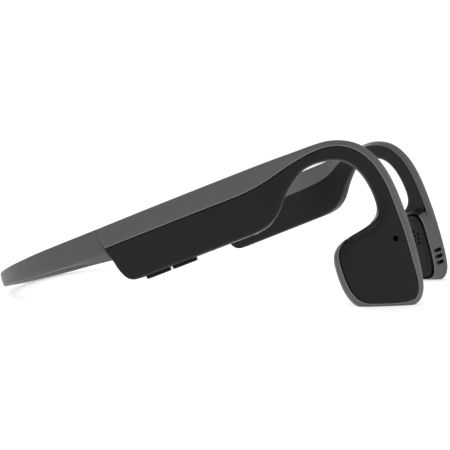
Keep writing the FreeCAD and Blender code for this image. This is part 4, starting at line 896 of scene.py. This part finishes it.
VENTS = ((171.4, -41.7), (171.0, -43.7), (170.6, -45.7))
made = {}
for side, hand in ((-1, "right"), (1, "left")):
    arm = hand + "_arm"
    # the fine bevels along the seams get a lighter grey and the outer top edge a slightly lighter grey, both as
    # painted highlight; the hidden walls and tongue of the seams get near-black gauze as painted shade
    bm_ = [1 if j < 5 or 22 <= j < 27 else (3 if 10 <= j < 15 else (2 if j >= 28 else 0)) for j in range(70)] * grey_n + [0, 0]
    band = loft(hand + "_rim_band", [band_loop(side, i) for i in range(grey_n + 1)], [GREY, GREY_EDGE_HIGHLIGHT, GAUZE_AND_SEAM_SHADE, GREY_TOP_EDGE_HIGHLIGHT], face_mats=bm_)
    rim = bezel(hand + "_head_rim", side)
    slots = []
    for vs, v in VENTS:
        q = round_poly([(-1.35, -0.62), (1.35, -0.62), (1.35, 0.62), (-1.35, 0.62)], [0.45] * 4, 5)
        loops = [dev(side, np.full(len(q), sx), 4.6 + q[:, 0], v + q[:, 1]) for sx in (vs - 1.35, vs + 1.6)]
        rim = difference(rim, loft("cutter", loops, BLACK, weighted=False, sharp=None))
    P, edge, par = outer_region()
    outer = cover(hand + "_outer_shell", side, P, edge, True, par, BLACK)
    P, edge, par = inner_region()
    inner = cover(hand + "_inner_shell", side, P, edge, False, par, BLACK)
    for o in (band, rim, outer):
        flat_foot(o)
    if hand == "right":
        for s in (108.4, 100.1):
            for o in (outer, inner):
                difference(o, box_cutter(side, s, 5.0, -17.2, 7.5, 3.7, 3.4, 0.9))
        for o in (outer, inner):
            difference(o, box_cutter(side, 123.28, 5.0, -17.25, 11.75, 5.7, 1.35, 0.25))
            difference(o, box_cutter(side, 123.5, 5.0, -16.0, 7.7, 3.0, 4.0, 0.3))
        difference(outer, round_cutter(side, 166.85, -32.4, 0.82, -1.0, 2.2))
    else:
        a_ = np.linspace(0, 2 * math.pi, 40, endpoint=False)
        q = round_poly([(-2.42, -5.12), (2.42, -5.12), (2.42, 5.12), (-2.42, 5.12)], [2.2] * 4, 8)
        loops = [dev(side, 160.6 + q[:, 0], z, -37.5 + q[:, 1]) for z in (-1.0, 1.9)]
        difference(outer, loft("cutter", loops, BLACK, weighted=False, sharp=None))
    pad = pad_mesh(hand + "_pad_skin", side)
    for o in (band, rim, outer, inner):
        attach(o, arm)
    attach(pad, hand + "_pad")
    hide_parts(hand + "_spine_frame")
    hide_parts(hand + "_spine_frame")
    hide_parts(hand + "_outer_cover")
    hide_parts(hand + "_inner_cover")
    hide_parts(hand + "_contact_pad")
    sl = half_sleeve(hand + "_band_sleeve", side)
    at(side, 39.0, 1.5, -2.0)
    at(side, 61.0, 1.5, -2.0)
    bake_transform(sl)
    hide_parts(hand + "_neckband_sleeve", "neckband_sleeve_rear")
    made[hand] = (band, rim, outer, inner, pad, sl)

# ------------------------------------------------------------------ studio
def floor():
    rings = [0.0, 0.05, 0.12, 0.25, 0.5, 1.0, 2.0, 4.0, 9.0]
    m = 72
    verts, faces = [(0, 0, -2e-5)], []
    for r in rings[1:]:
        verts += [(r * math.cos(2 * math.pi * i / m), r * math.sin(2 * math.pi * i / m), -2e-5) for i in range(m)]
    faces += [(0, 1 + i, 1 + (i + 1) % m) for i in range(m)]
    for k in range(len(rings) - 2):
        for i in range(m):
            j = (i + 1) % m
            faces.append((1 + k * m + i, 1 + (k + 1) * m + i, 1 + (k + 1) * m + j, 1 + k * m + j))
    me = bpy.data.meshes.new("studio_floor")
    me.from_pydata(verts, [], faces)
    o = bpy.data.objects.new("studio_floor", me)
    bpy.context.scene.collection.objects.link(o)
    m_ = bpy.data.materials.new("studio_white")
    m_.use_nodes = True
    nt = m_.node_tree
    b = nt.nodes["Principled BSDF"]
    b.inputs["Roughness"].default_value = 0.9
    b.inputs["Specular IOR Level"].default_value = 0.1
    nz = nt.nodes.new("ShaderNodeTexNoise")
    nz.inputs["Scale"].default_value = 3.0
    rp = nt.nodes.new("ShaderNodeValToRGB")
    rp.color_ramp.elements[0].color = (0.86, 0.86, 0.86, 1)
    rp.color_ramp.elements[1].color = (0.88, 0.88, 0.88, 1)
    nt.links.new(nz.outputs["Fac"], rp.inputs["Fac"])
    nt.links.new(rp.outputs["Color"], b.inputs["Base Color"])
    nt.links.new(rp.outputs["Color"], b.inputs["Emission Color"])
    b.inputs["Emission Strength"].default_value = 0.5
    me.materials.append(m_)
    return o


floor()


def area(name, loc, target, size, power, shape="RECTANGLE", size_y=None, colour=(1, 1, 1)):
    l = bpy.data.lights.new(name, "AREA")
    l.shape = shape
    l.size = size
    l.size_y = size_y or size
    l.energy = power
    l.color = colour
    o = bpy.data.objects.new(name, l)
    o.location = loc
    d = Vector(target) - Vector(loc)
    o.rotation_mode = "QUATERNION"
    o.rotation_quaternion = d.to_track_quat("-Z", "Y")
    bpy.context.scene.collection.objects.link(o)
    return o


area("key_top", (0.05, -0.35, 0.85), (0, 0, 0), 0.35, 1.1)
area("front_soft", (0.9, -0.6, 0.18), (0, 0, 0.02), 0.6, 0.6)
area("rim_side", (-0.75, 0.45, 0.46), (0, 0, 0.02), 0.45, 4.5)

w = bpy.data.worlds.new("studio")
bpy.context.scene.world = w
w.use_nodes = True
wn, wl = w.node_tree.nodes, w.node_tree.links
tc_ = wn.new("ShaderNodeTexCoord")
sx_ = wn.new("ShaderNodeSeparateXYZ")
rm_ = wn.new("ShaderNodeValToRGB")
rm_.color_ramp.elements[0].position = 0.25
rm_.color_ramp.elements[0].color = (1, 1, 1, 1)
rm_.color_ramp.elements[1].position = 0.8
rm_.color_ramp.elements[1].color = (0.4, 0.4, 0.4, 1)
wl.new(tc_.outputs["Generated"], sx_.inputs["Vector"])
wl.new(sx_.outputs["Z"], rm_.inputs["Fac"])
wl.new(rm_.outputs["Color"], wn["Background"].inputs["Color"])
wn["Background"].inputs["Strength"].default_value = 1.12
bpy.context.scene.view_settings.view_transform = "Standard"

# ------------------------------------------------------------------ camera
AZ, EL, ROLL = math.radians(19.194), math.radians(4.140), math.radians(-0.684)
FOCAL, DIST, TARGET = 1019.84, 0.33078, Vector((-0.000315, 0.000884, 0.019103))
back = Vector((math.sin(AZ) * math.cos(EL), -math.cos(AZ) * math.cos(EL), math.sin(EL)))
fwd = -back
right = fwd.cross(Vector((0, 0, 1))).normalized()
up = right.cross(fwd)
r2 = right * math.cos(ROLL) + up * math.sin(ROLL)
u2 = -right * math.sin(ROLL) + up * math.cos(ROLL)
cam = bpy.data.cameras.new("camera")
cam.sensor_width = 36.0
cam.lens = FOCAL / 450.0 * 36.0
cam.clip_start, cam.clip_end = 0.01, 20.0
co = bpy.data.objects.new("camera", cam)
co.matrix_world = Matrix.Translation(TARGET + back * DIST) @ Matrix((r2, u2, back)).transposed().to_4x4()
bpy.context.scene.collection.objects.link(co)
bpy.context.scene.camera = co
